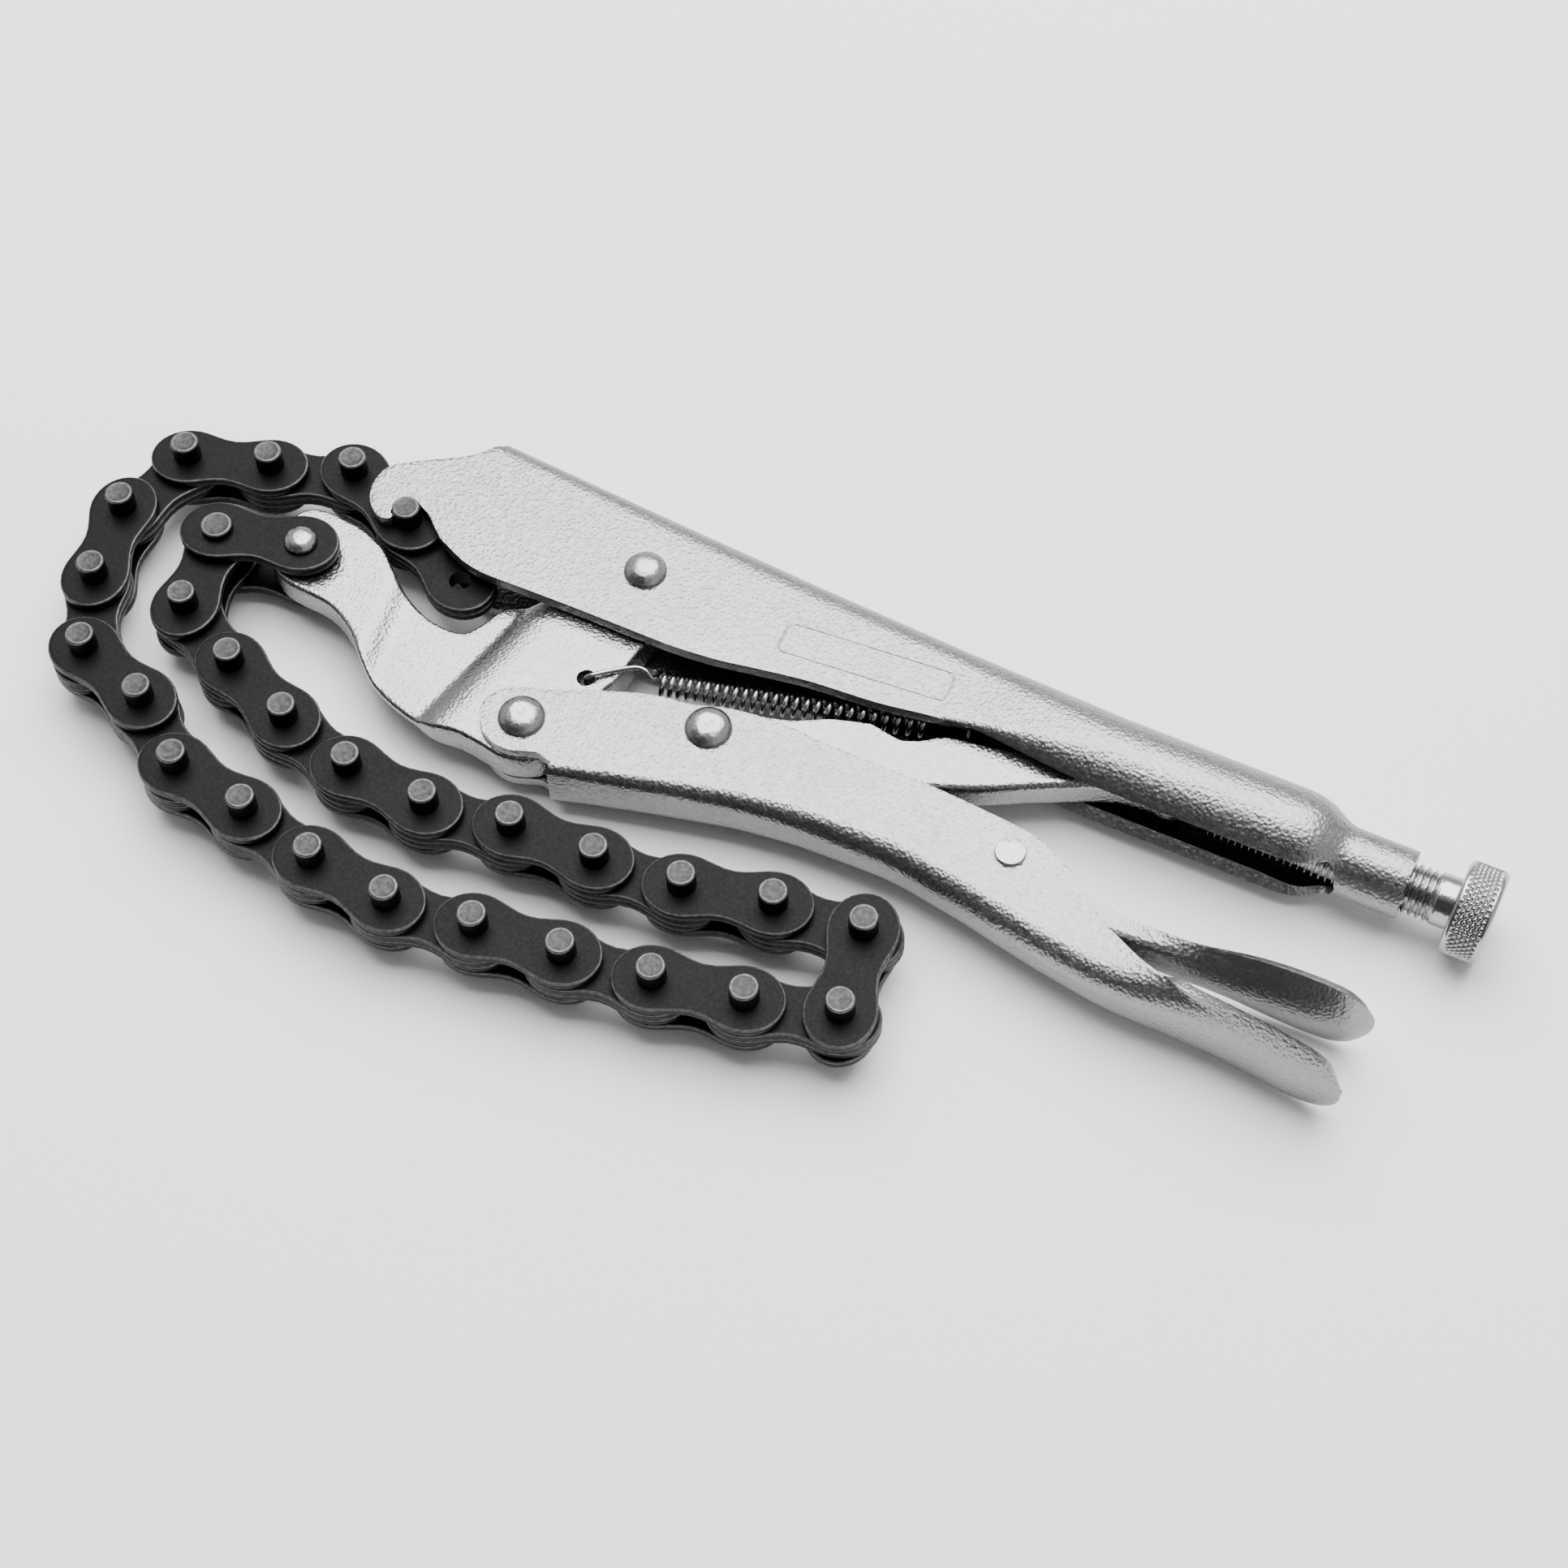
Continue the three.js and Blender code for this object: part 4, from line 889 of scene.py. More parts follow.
# Node, body and place, then shank, head, seat, height and dimple in millimetres
RIVETS = (
    Rivet("jaw_pivot_rivet", "upper_handle", (0.0, 0.0), 3.0, 3.9, 6.3, 2.4),
    Rivet("handle_pivot_rivet", "lower_handle", (-5.4, -36.7), 3.0, 4.2, 5.45, 2.4, 0.35),
    Rivet("link_pivot_rivet", "lower_handle", LINK_PIVOT, 3.0, 4.2, 5.45, 2.4, 0.35),
    Rivet("lever_pivot_pin", "lower_handle", (82.4, -25.7), 2.0, 2.7, 5.45, 0.7, flat=True),
    Rivet("chain_anchor_rivet", "jaw", CHAIN_PIVOT, 2.5, 3.05, 6.25, 1.9),
)


# Pressed sheet pieces


def corner_section(
    half: float, top: float, across: float, down: float, curl: float,
    lip: tuple[float, float], count: int,
) -> Array:
    """One half of a channel's section, from the middle of its back to its lip.

    A flat back, a quarter ellipse at the corner, a straight cheek, and a quarter round that
    curls in until it reaches the lip's distance from the mid-plane.

    Args:
        half: half the width.
        top: height of the back.
        across: the corner's radius across the back.
        down: the corner's radius down the cheek.
        curl: radius of the curl at the lip.
        lip: the lip's distance from the mid-plane and its height.
        count: points to return.

    Returns:
        Rows of distance from the mid-plane and height.
    """
    turn = np.linspace(math.pi / 2, 0, 25)
    corner = np.stack([half - across + across * np.cos(turn), top - down + down * np.sin(turn)], 1)
    sweep_angle = math.acos(float(np.clip((lip[0] - half + curl) / curl, -1, 1)))
    bend = np.linspace(0, -sweep_angle, 25)
    base = lip[1] + curl * math.sin(sweep_angle)
    lower = np.stack([half - curl + curl * np.cos(bend), base + curl * np.sin(bend)], 1)
    return even(np.concatenate([[[0.0, top]], corner, lower]), count)


def spoon_section(
    half: float, back: float, lip: float, rounding: float, flatness: float, count: int
) -> Array:
    """Half section of a channel on its way to a shallow spoon.

    The spoon is an arc, whose height falls from the back to the lip with the square of the
    distance from the mid-plane. Each point is the weighted mean of its places on the channel
    and on the arc.

    Args:
        half: half the width.
        back: height of the back.
        lip: height of the lip.
        rounding: radius of the channel's corners.
        flatness: weight of the arc, from nought to one.
        count: points to return.

    Returns:
        Rows of distance from the mid-plane and height.
    """
    rounding = min(rounding, half)
    curl = min(0.5, half)
    channel = corner_section(half, back, rounding, rounding, curl, (half, lip), count)
    share = np.linspace(0, 1, len(channel))
    arc = np.stack([half * share, back + (lip - back) * share**2], 1)
    return channel + (arc - channel) * flatness


def ring_of(x: float, half_section: Array, up: float) -> Array:
    """Whole section at one place along X, from one lip over the back to the other."""
    right = np.stack(
        [np.full(len(half_section), x), up * half_section[:, 1], half_section[:, 0]], 1
    )
    left = right[:0:-1] * [1, 1, -1]
    return np.concatenate([left, right])


def spoon_rings(plain: Array, reach: float, section: Callable[[float], Array]) -> Array:
    """Sections along a channel with a spoon at its end, ever closer together towards the tip.

    Args:
        plain: places along X, up to the spoon's start.
        reach: the tip's place along X.
        section: gives the half section, back downwards, at a place along X.

    Returns:
        Rings by points by three.
    """
    share = np.sin(np.linspace(0, math.pi / 2, 30))
    xs = np.unique(np.concatenate([plain, SPOON_START + (reach - SPOON_START) * share]))
    return np.array([ring_of(x, section(x), -1.0) for x in xs])[:, ::-1]


def face_pair(
    skin: Skin, outline: Array, holes: Sequence[Array], lift: Callable[[Array], Array],
    spacing: float,
) -> None:
    """Adds a face on both sides of the mid-plane.

    Args:
        skin: where the faces go.
        outline: anticlockwise loop in plan.
        holes: anticlockwise loops left open.
        lift: distance from the mid-plane at each point in plan.
        spacing: size of the triangles.
    """
    plan, triangles = fill(outline, holes, spacing)
    height = lift(plan)
    skin.add(raised(plan, height), triangles)
    skin.add(raised(plan, -height), triangles[:, ::-1])


def press(skin: Skin, node: str, sheet: float, rim: float, finish: Finish) -> None:
    """Makes a pressed piece of even thickness from its outer skin.

    Args:
        skin: the outer skin.
        node: the CAD node that it stands for, which is also its body.
        sheet: thickness in millimetres.
        rim: rounding of the sheet's free edges in millimetres.
        finish: its surface.
    """
    piece = skin.build(f"{node}_pressing", closed=False)
    thicken(piece, sheet, rim, None)
    dress(piece, finish, node, node)


@dataclass
class UpperHandle:
    """Pressed channel that closes to a C-shaped tube and necks down round the screw."""

    sheet: float = 2.3
    rim: float = 0.45
    half: float = 6.3
    front: float = -38.0
    join: float = -37.0
    swell: float = 60.0
    tube: float = 90.0
    neck: tuple[float, float] = (126.0, 135.0)
    end: float = 144.6
    crown: float = 16.8
    radius: float = 9.3
    lift: float = 0.2
    points: int = 44
    rings: tuple[int, ...] = (66, 66, 28, 10)
    thinning: tuple[float, float] = (120.0, 134.0)
    collar_share: float = 0.52
    cheek_top: float = 14.9
    notch_radius: float = 2.89
    notch_arc: tuple[float, float] = (-149.5, -309.0)
    slot: float = 5.35
    slot_straight: float = 129.5
    slot_end: float = 3.9
    slot_limit: float = 0.8  # half the slot's width, as a share of the tube's radius
    swell_ease: tuple[float, float] = (-0.15, 1.1)
    edge: Pairs = (
        (-37, -9.3), (-33.2, -11.0), (-30, -12.2), (-25.3, -12.8), (-19.6, -12.7), (-7, -12.55),
        (9.6, -12.6), (18.8, -12.0), (27.7, -10.5), (37.4, -9.0), (49.3, -8.1), (60, -6.5),
        (67.5, -5.9), (75, -6.3), (82.5, -7.0), (90, -7.45),
    )
    curl: Pairs = ((60, 0.4), (67.5, 1.6), (75, 3.9), (82.5, 6.6), (90, 9.3))
    mouth: Pairs = ((60, 6.3), (67.5, 6.1), (75, 5.6), (82.5, 5.4), (90, 5.35))
    tube_radius: Pairs = (
        (90, 9.3), (123, 9.28), (126.2, 9.0), (128.4, 8.4), (130, 7.6), (131.3, 6.9),
        (132.6, 6.35), (134, 6.12), (144.6, 6.1),
    )
    nose_edge: Pairs = (
        (-38.5, 13.5), (-39.7, 11.8), (-41.2, 10.1), (-44.0, 8.1), (-47.9, 5.7), (-51.8, 3.2),
        (-53.6, 1.5), (-54.5, -0.6), (-54.6, -3.0), (-54.0, -5.4), (-52.7, -7.6), (-50.9, -9.1),
        (-49.3, -9.6), (-47.9, -9.2), (-47.45, -8.3),
    )
    notch_slant: Pairs = ((-41.7, -5.4), (-39.6, -7.2))
    frame: Pairs = ((28.7, -5.5), (60.0, -3.0), (59.7, 3.2), (28.5, 0.9))
    frame_corner: float = 1.7
    ridge: Pairs = ((-0.32, -0.1), (-0.2, 0.07), (0.0, 0.12), (0.2, 0.07), (0.32, -0.1))

    def spine(self, x: float) -> float:
        """Height of the back: a straight fall to the tube."""
        heights = [self.crown, self.lift + self.radius]
        return float(np.interp(x, [self.front, self.tube], heights))

    def rounding(self, x: float) -> float:
        """Radius between the back and the cheeks, which grows from the nose rearwards."""
        return float(np.interp(x, [-38, 0, 30], [3.9, 5.5, 6.3]))

    def section(self, x: float) -> Array:
        """Half section at one place, by the zone that it lies in."""
        if x >= self.tube:
            radius = read_table(x, self.tube_radius)
            closing = max(0.0, (x - self.slot_straight) / self.slot_end)
            slot = self.slot * math.sqrt(max(0.0, 1 - closing**3))
            slot = min(slot, radius * self.slot_limit)
            low = self.lift - math.sqrt(radius**2 - slot**2)
            return corner_section(
                radius, self.lift + radius, radius, radius, radius, (slot, low), self.points
            )
        edge, top = read_table(x, self.edge), self.spine(x)
        if x <= self.swell:
            rounding, lip = self.rounding(x), (self.half, edge)
            return corner_section(self.half, top, rounding, rounding, 1.0, lip, self.points)
        share = (x - self.swell) / (self.tube - self.swell)
        grown = float(smoothstep(share, *self.swell_ease))
        half = self.half + (self.radius - self.half) * grown
        half = min(max(half, self.half), self.radius)
        curl, slot = min(read_table(x, self.curl), half), min(read_table(x, self.mouth), half)
        return corner_section(half, top, half, half, curl, (slot, edge), self.points)

    def nose(self, ring: Array) -> tuple[Array, Callable[[Array], Array]]:
        """Outline of the nose's cheek in plan, and its distance from the mid-plane.

        Args:
            ring: the channel's first section, which the cheek joins.

        Returns:
            The anticlockwise outline, and the lift as a function of places in plan.
        """
        turn = np.radians(np.linspace(*self.notch_arc, 16))
        notch = HOOK + self.notch_radius * np.stack([np.cos(turn), np.sin(turn)], 1)
        cheek = ring[ring[:, 2] > 0]
        joined = cheek[np.argsort(cheek[:, 1])][:, :2]
        joined = joined[joined[:, 1] < self.cheek_top]
        top = spline([joined[-1], *self.nose_edge], 4, False)[1:]
        low = spline([notch[-1], *self.notch_slant, joined[0]], 4, False)[1:-1]
        crown, rounding = self.spine(self.join), self.rounding(self.join)

        def lift(plan: Array) -> Array:
            above = np.clip(plan[:, 1] - (crown - rounding), 0, rounding)
            return self.half - rounding + np.sqrt(rounding**2 - above**2)

        return np.concatenate([joined, top, notch, low]), lift

    def make(self) -> None:
        """Makes the pressing and the blank name frame on its cheeks."""
        xs = runs([self.join, self.swell, *self.neck, self.end], self.rings)
        rings = np.array([ring_of(x, self.section(x), 1.0) for x in xs])
        skin = Skin()
        skin.grid(rings)
        outline, lift = self.nose(rings[0])
        face_pair(skin, outline, [], lift, spacing=1.1)
        piece = skin.build("upper_handle_pressing", closed=False)
        x = np.empty(len(piece.data.vertices) * 3)
        piece.data.vertices.foreach_get("co", x)
        along = (x[::3] - Tool.origin[0]) / MM
        share = 1 - (1 - self.collar_share) * smoothstep(along, *self.thinning)
        thicken(piece, self.sheet, self.rim, np.round(share, 2))
        dress(piece, PLATED, "upper_handle", "upper_handle")
        self.frame_line()

    def frame_line(self) -> None:
        """Blank raised frame on each cheek: a low ridge along a rounded rectangle."""
        corners = np.array(self.frame)
        t = np.linspace(0, 1, 7)[:, None]
        loop = []
        for i, corner in enumerate(corners):
            before, after = corners[i - 1] - corner, corners[(i + 1) % 4] - corner
            start = corner + self.frame_corner * (before / np.linalg.norm(before))
            stop = corner + self.frame_corner * (after / np.linalg.norm(after))
            loop.append((1 - t) ** 2 * start + 2 * t * (1 - t) * corner + t**2 * stop)
        path = np.concatenate(loop)
        outward = path - corners.mean(0)
        outward /= np.linalg.norm(outward, axis=1)[:, None]
        skin = Skin()
        for side in (1, -1):
            rows = [
                raised(path + outward * across, side * (self.half + rise))
                for across, rise in self.ridge
            ]
            skin.grid(np.array(rows), wrap=True, loop=True)
        dress(skin.build("name_frame_ridge"), PLATED, "upper_handle")


@dataclass
class LowerHandle:
    """Pressed channel open towards the upper handle, whose tail spreads to a shallow spoon."""

    sheet: float = 1.9
    rim: float = 0.5
    join: float = 3.5
    bend: float = 90.0
    points: int = 40
    reach: float = 147.75
    edge: Pairs = (
        (3.5, -26.2), (14.8, -22.4), (19.5, -21.8), (27.3, -19.5), (35.9, -18.6), (47.1, -19.1),
        (61.6, -19.1), (76.3, -19.9), (84.0, -20.7), (90.8, -23.3), (96.7, -27.3), (101.0, -31.0),
        (105.3, -33.4), (110.0, -35.9), (114.9, -37.7), (120.0, -39.2), (125.2, -39.6),
        (130.0, -40.0), (134.0, -40.4), (138.0, -40.9), (141.0, -41.2), (144.1, -41.6),
        (146.3, -41.9), (147.6, -42.2),
    )
    back: Pairs = (
        (3.5, 44.4), (14.8, 41.5), (26.0, 38.8), (37.6, 36.4), (49.0, 35.3), (62.0, 35.1),
        (75.0, 36.7), (88.0, 39.3), (96.7, 40.9), (105.3, 42.0), (112.0, 42.2), (120.0, 42.0),
        (125.2, 42.1), (130.0, 42.4), (134.0, 42.8), (138.0, 43.3), (141.0, 43.4), (144.1, 43.2),
        (147.6, 42.8),
    )
    half: Pairs = (
        (3.5, 5.45), (97.0, 5.45), (101.0, 5.55), (105.3, 6.1), (110.0, 6.8), (114.9, 7.5),
        (120.0, 8.15), (125.2, 8.45), (130.0, 8.5), (137.0, 8.45), (140.0, 8.2), (142.0, 7.75),
        (144.0, 6.85), (145.6, 5.65), (146.7, 4.2), (147.35, 2.8), (147.65, 1.5), (147.75, 0.5),
    )
    rounding: Pairs = (
        (3.5, 1.5), (15.0, 2.2), (37.0, 3.0), (62.0, 3.9), (100.0, 4.3), (136.0, 4.4),
        (147.75, 1.4),
    )
    flatness: Pairs = (
        (3.5, 0.0), (97.0, 0.0), (101.0, 0.04), (105.3, 0.14), (110.0, 0.33), (114.9, 0.58),
        (120.0, 0.82), (125.2, 0.95), (130.0, 1.0),
    )
    eye_edge: Pairs = (
        (-2.5, -29.0), (-6.2, -30.3), (-9.4, -31.5), (-12.0, -33.7), (-13.0, -36.6),
        (-12.4, -39.5), (-10.5, -41.9), (-7.6, -43.4), (-4.4, -43.6), (-1.4, -42.6),
        (0.6, -42.0), (2.2, -42.4),
    )

    def section(self, x: float) -> Array:
        """Half section at one place, with the back downwards turned up."""
        tables = (self.edge, self.back, self.half, self.rounding, self.flatness)
        edge, back, half, rounding, flatness = (read_table(x, table) for table in tables)
        return spoon_section(half, back, -edge, rounding, flatness, self.points)

    def eye(self, ring: Array) -> Array:
        """Outline of the cheek in front of the back, round the jaw's rivet."""
        cheek = ring[np.isclose(ring[:, 2], ring[:, 2].max(), atol=1e-4)]
        joined = cheek[np.argsort(cheek[:, 1])][:, :2]
        front = spline([joined[-1], *self.eye_edge, joined[0]], 5, False)
        return np.concatenate([joined, front[1:-1]])

    def make(self) -> None:
        """Makes the pressing, from the jaw's rivet to the tip of its spoon."""
        plain = runs([self.join, self.bend, SPOON_START], [60, 45])
        rings = spoon_rings(plain, self.reach, self.section)
        skin = Skin()
        skin.grid(rings)
        cheek = self.half[0][1]
        face_pair(
            skin, self.eye(rings[0]), [], lambda plan: np.full(len(plan), cheek), spacing=1.2
        )
        press(skin, "lower_handle", self.sheet, self.rim, PLATED)


@dataclass
class ReleaseLever:
    """Pressed channel open towards the upper handle, whose tail spreads to a shallow spoon."""

    sheet: float = 1.5
    rim: float = 0.5
    rounding: float = 1.6
    points: int = 32
    reach: float = 148.4
    back: Pairs = (
        (62.1, 26.5), (66.1, 28.5), (82.4, 30.5), (90.0, 30.8), (97.0, 31.35), (103.3, 31.7),
        (107.9, 31.9), (112.9, 31.9), (118.1, 31.7), (125.5, 31.5), (130.0, 31.35), (137.3, 31.1),
        (141.0, 30.7), (144.5, 30.1), (147.0, 28.8), (148.4, 27.8),
    )
    lip: Pairs = (
        (62.1, 23.0), (66.1, 22.2), (82.4, 21.7), (90.0, 23.8), (97.0, 26.7), (103.3, 27.5),
        (107.9, 28.0), (112.9, 28.5), (118.1, 28.7), (130.0, 28.6), (141.0, 28.6), (144.5, 28.4),
        (147.0, 27.9), (148.4, 27.5),
    )
    half: Pairs = (
        (62.1, 2.9), (66.1, 3.2), (100.0, 3.2), (103.3, 3.3), (107.9, 4.0), (112.9, 5.0),
        (118.1, 5.9), (122.6, 6.8), (126.3, 7.6), (130.0, 8.25), (133.6, 8.65), (137.4, 8.8),
        (141.2, 8.55), (143.5, 7.9), (145.2, 6.8), (146.6, 5.3), (147.5, 3.8), (148.1, 2.3),
        (148.35, 1.1), (148.4, 0.4),
    )
    flatness: Pairs = (
        (62.1, 0.0), (97.0, 0.0), (103.3, 0.1), (107.9, 0.25), (112.9, 0.5), (118.1, 0.75),
        (121.8, 0.9), (125.5, 1.0),
    )

    def section(self, x: float) -> Array:
        """Half section at one place, with the back downwards turned up."""
        tables = (self.back, self.lip, self.half, self.flatness)
        back, lip, half, flatness = (read_table(x, table) for table in tables)
        return spoon_section(half, back, lip, self.rounding, flatness, self.points)

    def make(self) -> None:
        """Makes the lever, from its nose to the tip of its spoon."""
        plain = runs([self.back[0][0], SPOON_START], [70])
        skin = Skin()
        skin.grid(spoon_rings(plain, self.reach, self.section))
        press(skin, "release_lever", self.sheet, self.rim, PLATED)


# Forged and blanked pieces


def forging(
    skin: Skin, outline: Array, holes: Sequence[Array], half: Callable[[Array], Array],
    rim: float, spacing: float,
) -> None:
    """Closed body alike above and below the mid-plane, with rounded edges.

    The edge follows a quarter round from the upright wall to the face, whose height is a
    function of the place in plan.

    Args:
        skin: where the faces go.
        outline: anticlockwise loop in plan.
        holes: anticlockwise loops that go right through.
        half: half the thickness at places in plan.
        rim: the edge's radius.
        spacing: size of the faces' triangles.
    """
    hole_rim = 0.2
    faces = []
    for loop, size, inward in [(outline, rim, 1.0), *[(hole, hole_rim, -1.0) for hole in holes]]:
        rows = []
        for draw, fall in zip(*quarter(size, 5)):
            plan = inset(loop, inward * draw)
            rows.append(raised(plan, half(plan) - fall))
        upper = np.array(rows)
        skin.grid(np.concatenate([(upper * [1, 1, -1])[::-1], upper]), wrap=True)
        faces.append(upper[-1][:, :2])
    face_pair(skin, faces[0], faces[1:], half, spacing)


@dataclass
class Jaw:
    """Forged jaw: a tongue for the chain, a drawn-down waist and a thick body."""

    tongue: float = 2.9
    waist: float = 1.0
    body: float = 3.2
    rim: float = 0.7
    valley: tuple[float, float] = (-39.0, -24.6)
    valley_heading: float = 191.0
    crease: tuple[float, float] = (-21.2, -33.5)
    crease_heading: float = -11.4
    crease_width: float = 9.0
    hole_radius: float = 1.6
    outline: Pairs = (
        (-60.2, -10.4), (-63.8, -11.2), (-65.8, -13.9), (-66.5, -19.6), (-65.0, -24.0),
        (-59.4, -27.5), (-49.9, -28.6), (-43.6, -31.8), (-39.4, -35.6), (-34.7, -39.3),
        (-28.4, -41.9), (-21.2, -43.4), (-15.4, -42.9), (-10.4, -43.4), (-5.4, -44.0),
        (-0.5, -42.4), (2.7, -38.5), (3.4, -31.0), (3.9, -24.6), (5.1, -20.9), (6.0, -13.0),
        (9.0, -3.7), (9.4, 1.5), (6.6, 6.8), (0.0, 9.5), (-6.6, 6.8), (-9.6, 0.5), (-10.4, -5.4),
        (-16.7, -12.0), (-21.6, -15.4), (-23.6, -20.0), (-26.0, -22.8), (-32.3, -22.7),
        (-39.2, -19.7), (-43.3, -16.6), (-47.2, -13.4), (-51.9, -11.4), (-56.2, -10.7),
    )

    def thickness(self, plan: Array) -> Array:
        """Half thickness: soft steps across the valley beside the tongue and along the crease.

        Each step rises with the signed distance from a line in plan, which is slightly bowed
        beside the tongue.

        Args:
            plan: places in plan.

        Returns:
            Half the thickness at each place.
        """
        to_tongue = (plan - self.valley) @ heading(self.valley_heading)
        to_body = (plan - self.crease) @ heading(self.crease_heading)
        bend = 0.012 * (plan[:, 1] + 30.0) ** 2
        tongue = smoothstep(to_tongue + 0.2 * bend, -2.4, 3.0)
        body = 1 - (1 - np.clip((to_body + 0.5) / self.crease_width, 0, 1)) ** 3
        return self.waist + (self.tongue - self.waist) * tongue + (self.body - self.waist) * body

    def make(self) -> None:
        """Makes the forging with its spring hole."""
        skin = Skin()
        hole = circle(SPRING_HOLE, self.hole_radius, 28)
        loop = spline(self.outline, 6, True)
        forging(skin, loop, [hole], self.thickness, self.rim, spacing=0.9)
        dress(skin.build("jaw_forging"), FORGED, "jaw", "jaw")


@dataclass
class ToggleLink:
    """Pressed link between the lower handle and the screw: a channel with stepped cheeks."""

    sheet: float = 1.5
    rim: float = 0.35
    half: float = 3.25
    rounding: float = 1.3
    curl: float = 0.5
    start: tuple[float, float] = LINK_PIVOT
    end: tuple[float, float] = (102.0, 0.0)
    points: int = 24
    back: Pairs = (
        (-0.062, -0.02), (-0.04, -0.05), (0.0, -0.062), (0.082, -0.064), (0.236, -0.071),
        (0.404, -0.074), (0.56, -0.066), (0.728, -0.037), (0.879, -0.018), (0.95, -0.03),
        (1.0, -0.048), (1.035, -0.035), (1.052, -0.012),
    )
    lip: Pairs = (
        (-0.062, 0.02), (-0.04, 0.05), (0.0, 0.062), (0.161, 0.059), (0.27, 0.074),
        (0.337, 0.073), (0.38, 0.053), (0.416, 0.038), (0.457, 0.043), (0.505, 0.058),
        (0.646, 0.042), (0.831, 0.042), (0.95, 0.046), (1.0, 0.048), (1.035, 0.035),
        (1.052, 0.012),
    )

    def make(self) -> None:
        """Makes the link along its own axis, with sizes as shares of its length, and turns it."""
        span = np.subtract(self.end, self.start)
        length = float(np.linalg.norm(span))
        direction = span / length
        shares = np.concatenate([
            np.linspace(-0.062, 0.02, 8), np.linspace(0.03, 0.98, 90), np.linspace(0.99, 1.052, 8)
        ])
        rings = []
        for share in shares:
            low, high = (read_table(share, table) * length for table in (self.back, self.lip))
            rounding = min(self.rounding, (high - low) / 3)
            section = corner_section(
                self.half, -low, rounding, rounding, self.curl, (self.half, -high), self.points
            )
            rings.append(ring_of(share * length, section, -1.0))
        local = np.array(rings)[:, ::-1]
        plan = self.start + local[..., :1] * direction + local[..., 1:2] * left_of(direction)
        skin = Skin()
        skin.grid(raised(plan, local[..., 2]))
        press(skin, "toggle_link", self.sheet, self.rim, FORGED)


# Turned pieces


@dataclass
class Screw:
    """Adjusting screw: a rolled thread, a plain neck and a diamond-knurled knob."""

    radius: float = 4.6
    pitch: float = 1.25
    depth: float = 0.72
    flank: float = 1.35  # steepness of the thread's sides
    root: float = 0.12  # share of the wave that the rounded crest takes
    columns: int = 64
    tip: float = 107.9
    thread_end: float = 150.2
    shoulder: float = 152.9
    knob_length: float = 6.9
    knob_radius: float = 8.3
    knob_rim: float = 0.9
    knurl_count: int = 44
    knurl_depth: float = 0.38
    knurl_slope: float = 1.25

    def turned(self, name: str, along: Array, radius: Array) -> None:
        """Makes a piece about the screw's axis, from radii on a grid of places and angles.

        Args:
            name: the piece's name, which is its CAD node's with one more word.
            along: places along X.
            radius: rows along by columns round.
        """
        angle = np.linspace(0, 2 * math.pi, radius.shape[1], endpoint=False)
        rows = [np.broadcast_to(along[:, None], radius.shape)]
        rows += [radius * np.sin(angle), radius * np.cos(angle)]
        skin = Skin()
        skin.grid(np.stack(rows, 2), wrap=True)
        node = name.rpartition("_")[0]
        dress(skin.build(name), TURNED, node, node)

    def make_screw(self) -> None:
        """Thread as a helix: the radius is a rounded wave of the place less the angle round."""
        along = np.concatenate([
            np.arange(self.tip + 1.5, self.thread_end, self.pitch / 9),
            np.linspace(self.thread_end + 0.2, self.shoulder - 0.05, 8),
        ])
        angle = np.linspace(0, 2 * math.pi, self.columns, endpoint=False)
        phase = along[:, None] / self.pitch - angle[None] / (2 * math.pi)
        wave = np.abs(phase % 1.0 - 0.5) * 2
        groove = np.clip(wave * self.flank - self.root, 0, 1)
        run_out = 1 - smoothstep(along, self.thread_end - 1.2, self.thread_end)[:, None]
        plain = np.ones((1, self.columns))
        radius = np.concatenate([
            1e-4 * plain, (self.radius - 1.5) * plain, self.radius - self.depth * groove * run_out,
            3.0 * plain, 1e-4 * plain,
        ])
        end = self.shoulder + 0.02
        places = np.concatenate([[self.tip, self.tip], along, [end, end]])
        self.turned("adjusting_screw_thread", places, radius)

    def make_knob(self) -> None:
        """Knob whose rim carries two crossing helical rows of grooves, as coarse as the real."""
        columns = self.knurl_count * 8
        end = self.shoulder + self.knob_length
        span = np.linspace(0, 1, 46)
        along = self.shoulder + self.knob_rim + (self.knob_length - 2 * self.knob_rim) * span
        angle = np.linspace(0, 2 * math.pi, columns, endpoint=False)
        lead = 2 * math.pi * self.knob_radius / self.knurl_count * self.knurl_slope
        row = angle[None] * self.knurl_count / (2 * math.pi)
        left, right = (
            np.abs(((row + sign * along[:, None] / lead) % 1) - 0.5) * 2 for sign in (1, -1)
        )
        groove = np.clip(1 - np.minimum(left, right) * 2.4, 0, 1)
        fade = smoothstep(span, 0, 0.06) * smoothstep(1 - span, 0, 0.06)
        rim = self.knob_radius - self.knurl_depth * groove * fade[:, None]
        draw, fall = (part[:-1] for part in quarter(self.knob_rim, 7))
        plain = np.ones((1, columns))
        round_radius = (self.knob_radius - fall)[:, None] * plain
        radius = np.concatenate([
            1e-4 * plain, 3.4 * plain, round_radius, rim,
            round_radius[::-1], 5.6 * plain, 5.2 * plain, 1e-4 * plain,
        ])
        places = np.concatenate([
            [self.shoulder, self.shoulder], self.shoulder + draw, along, end - draw[::-1],
            [end, end - 0.15, end - 0.15],
        ])
        self.turned("adjusting_knob_knurled", places, radius)


# Return spring


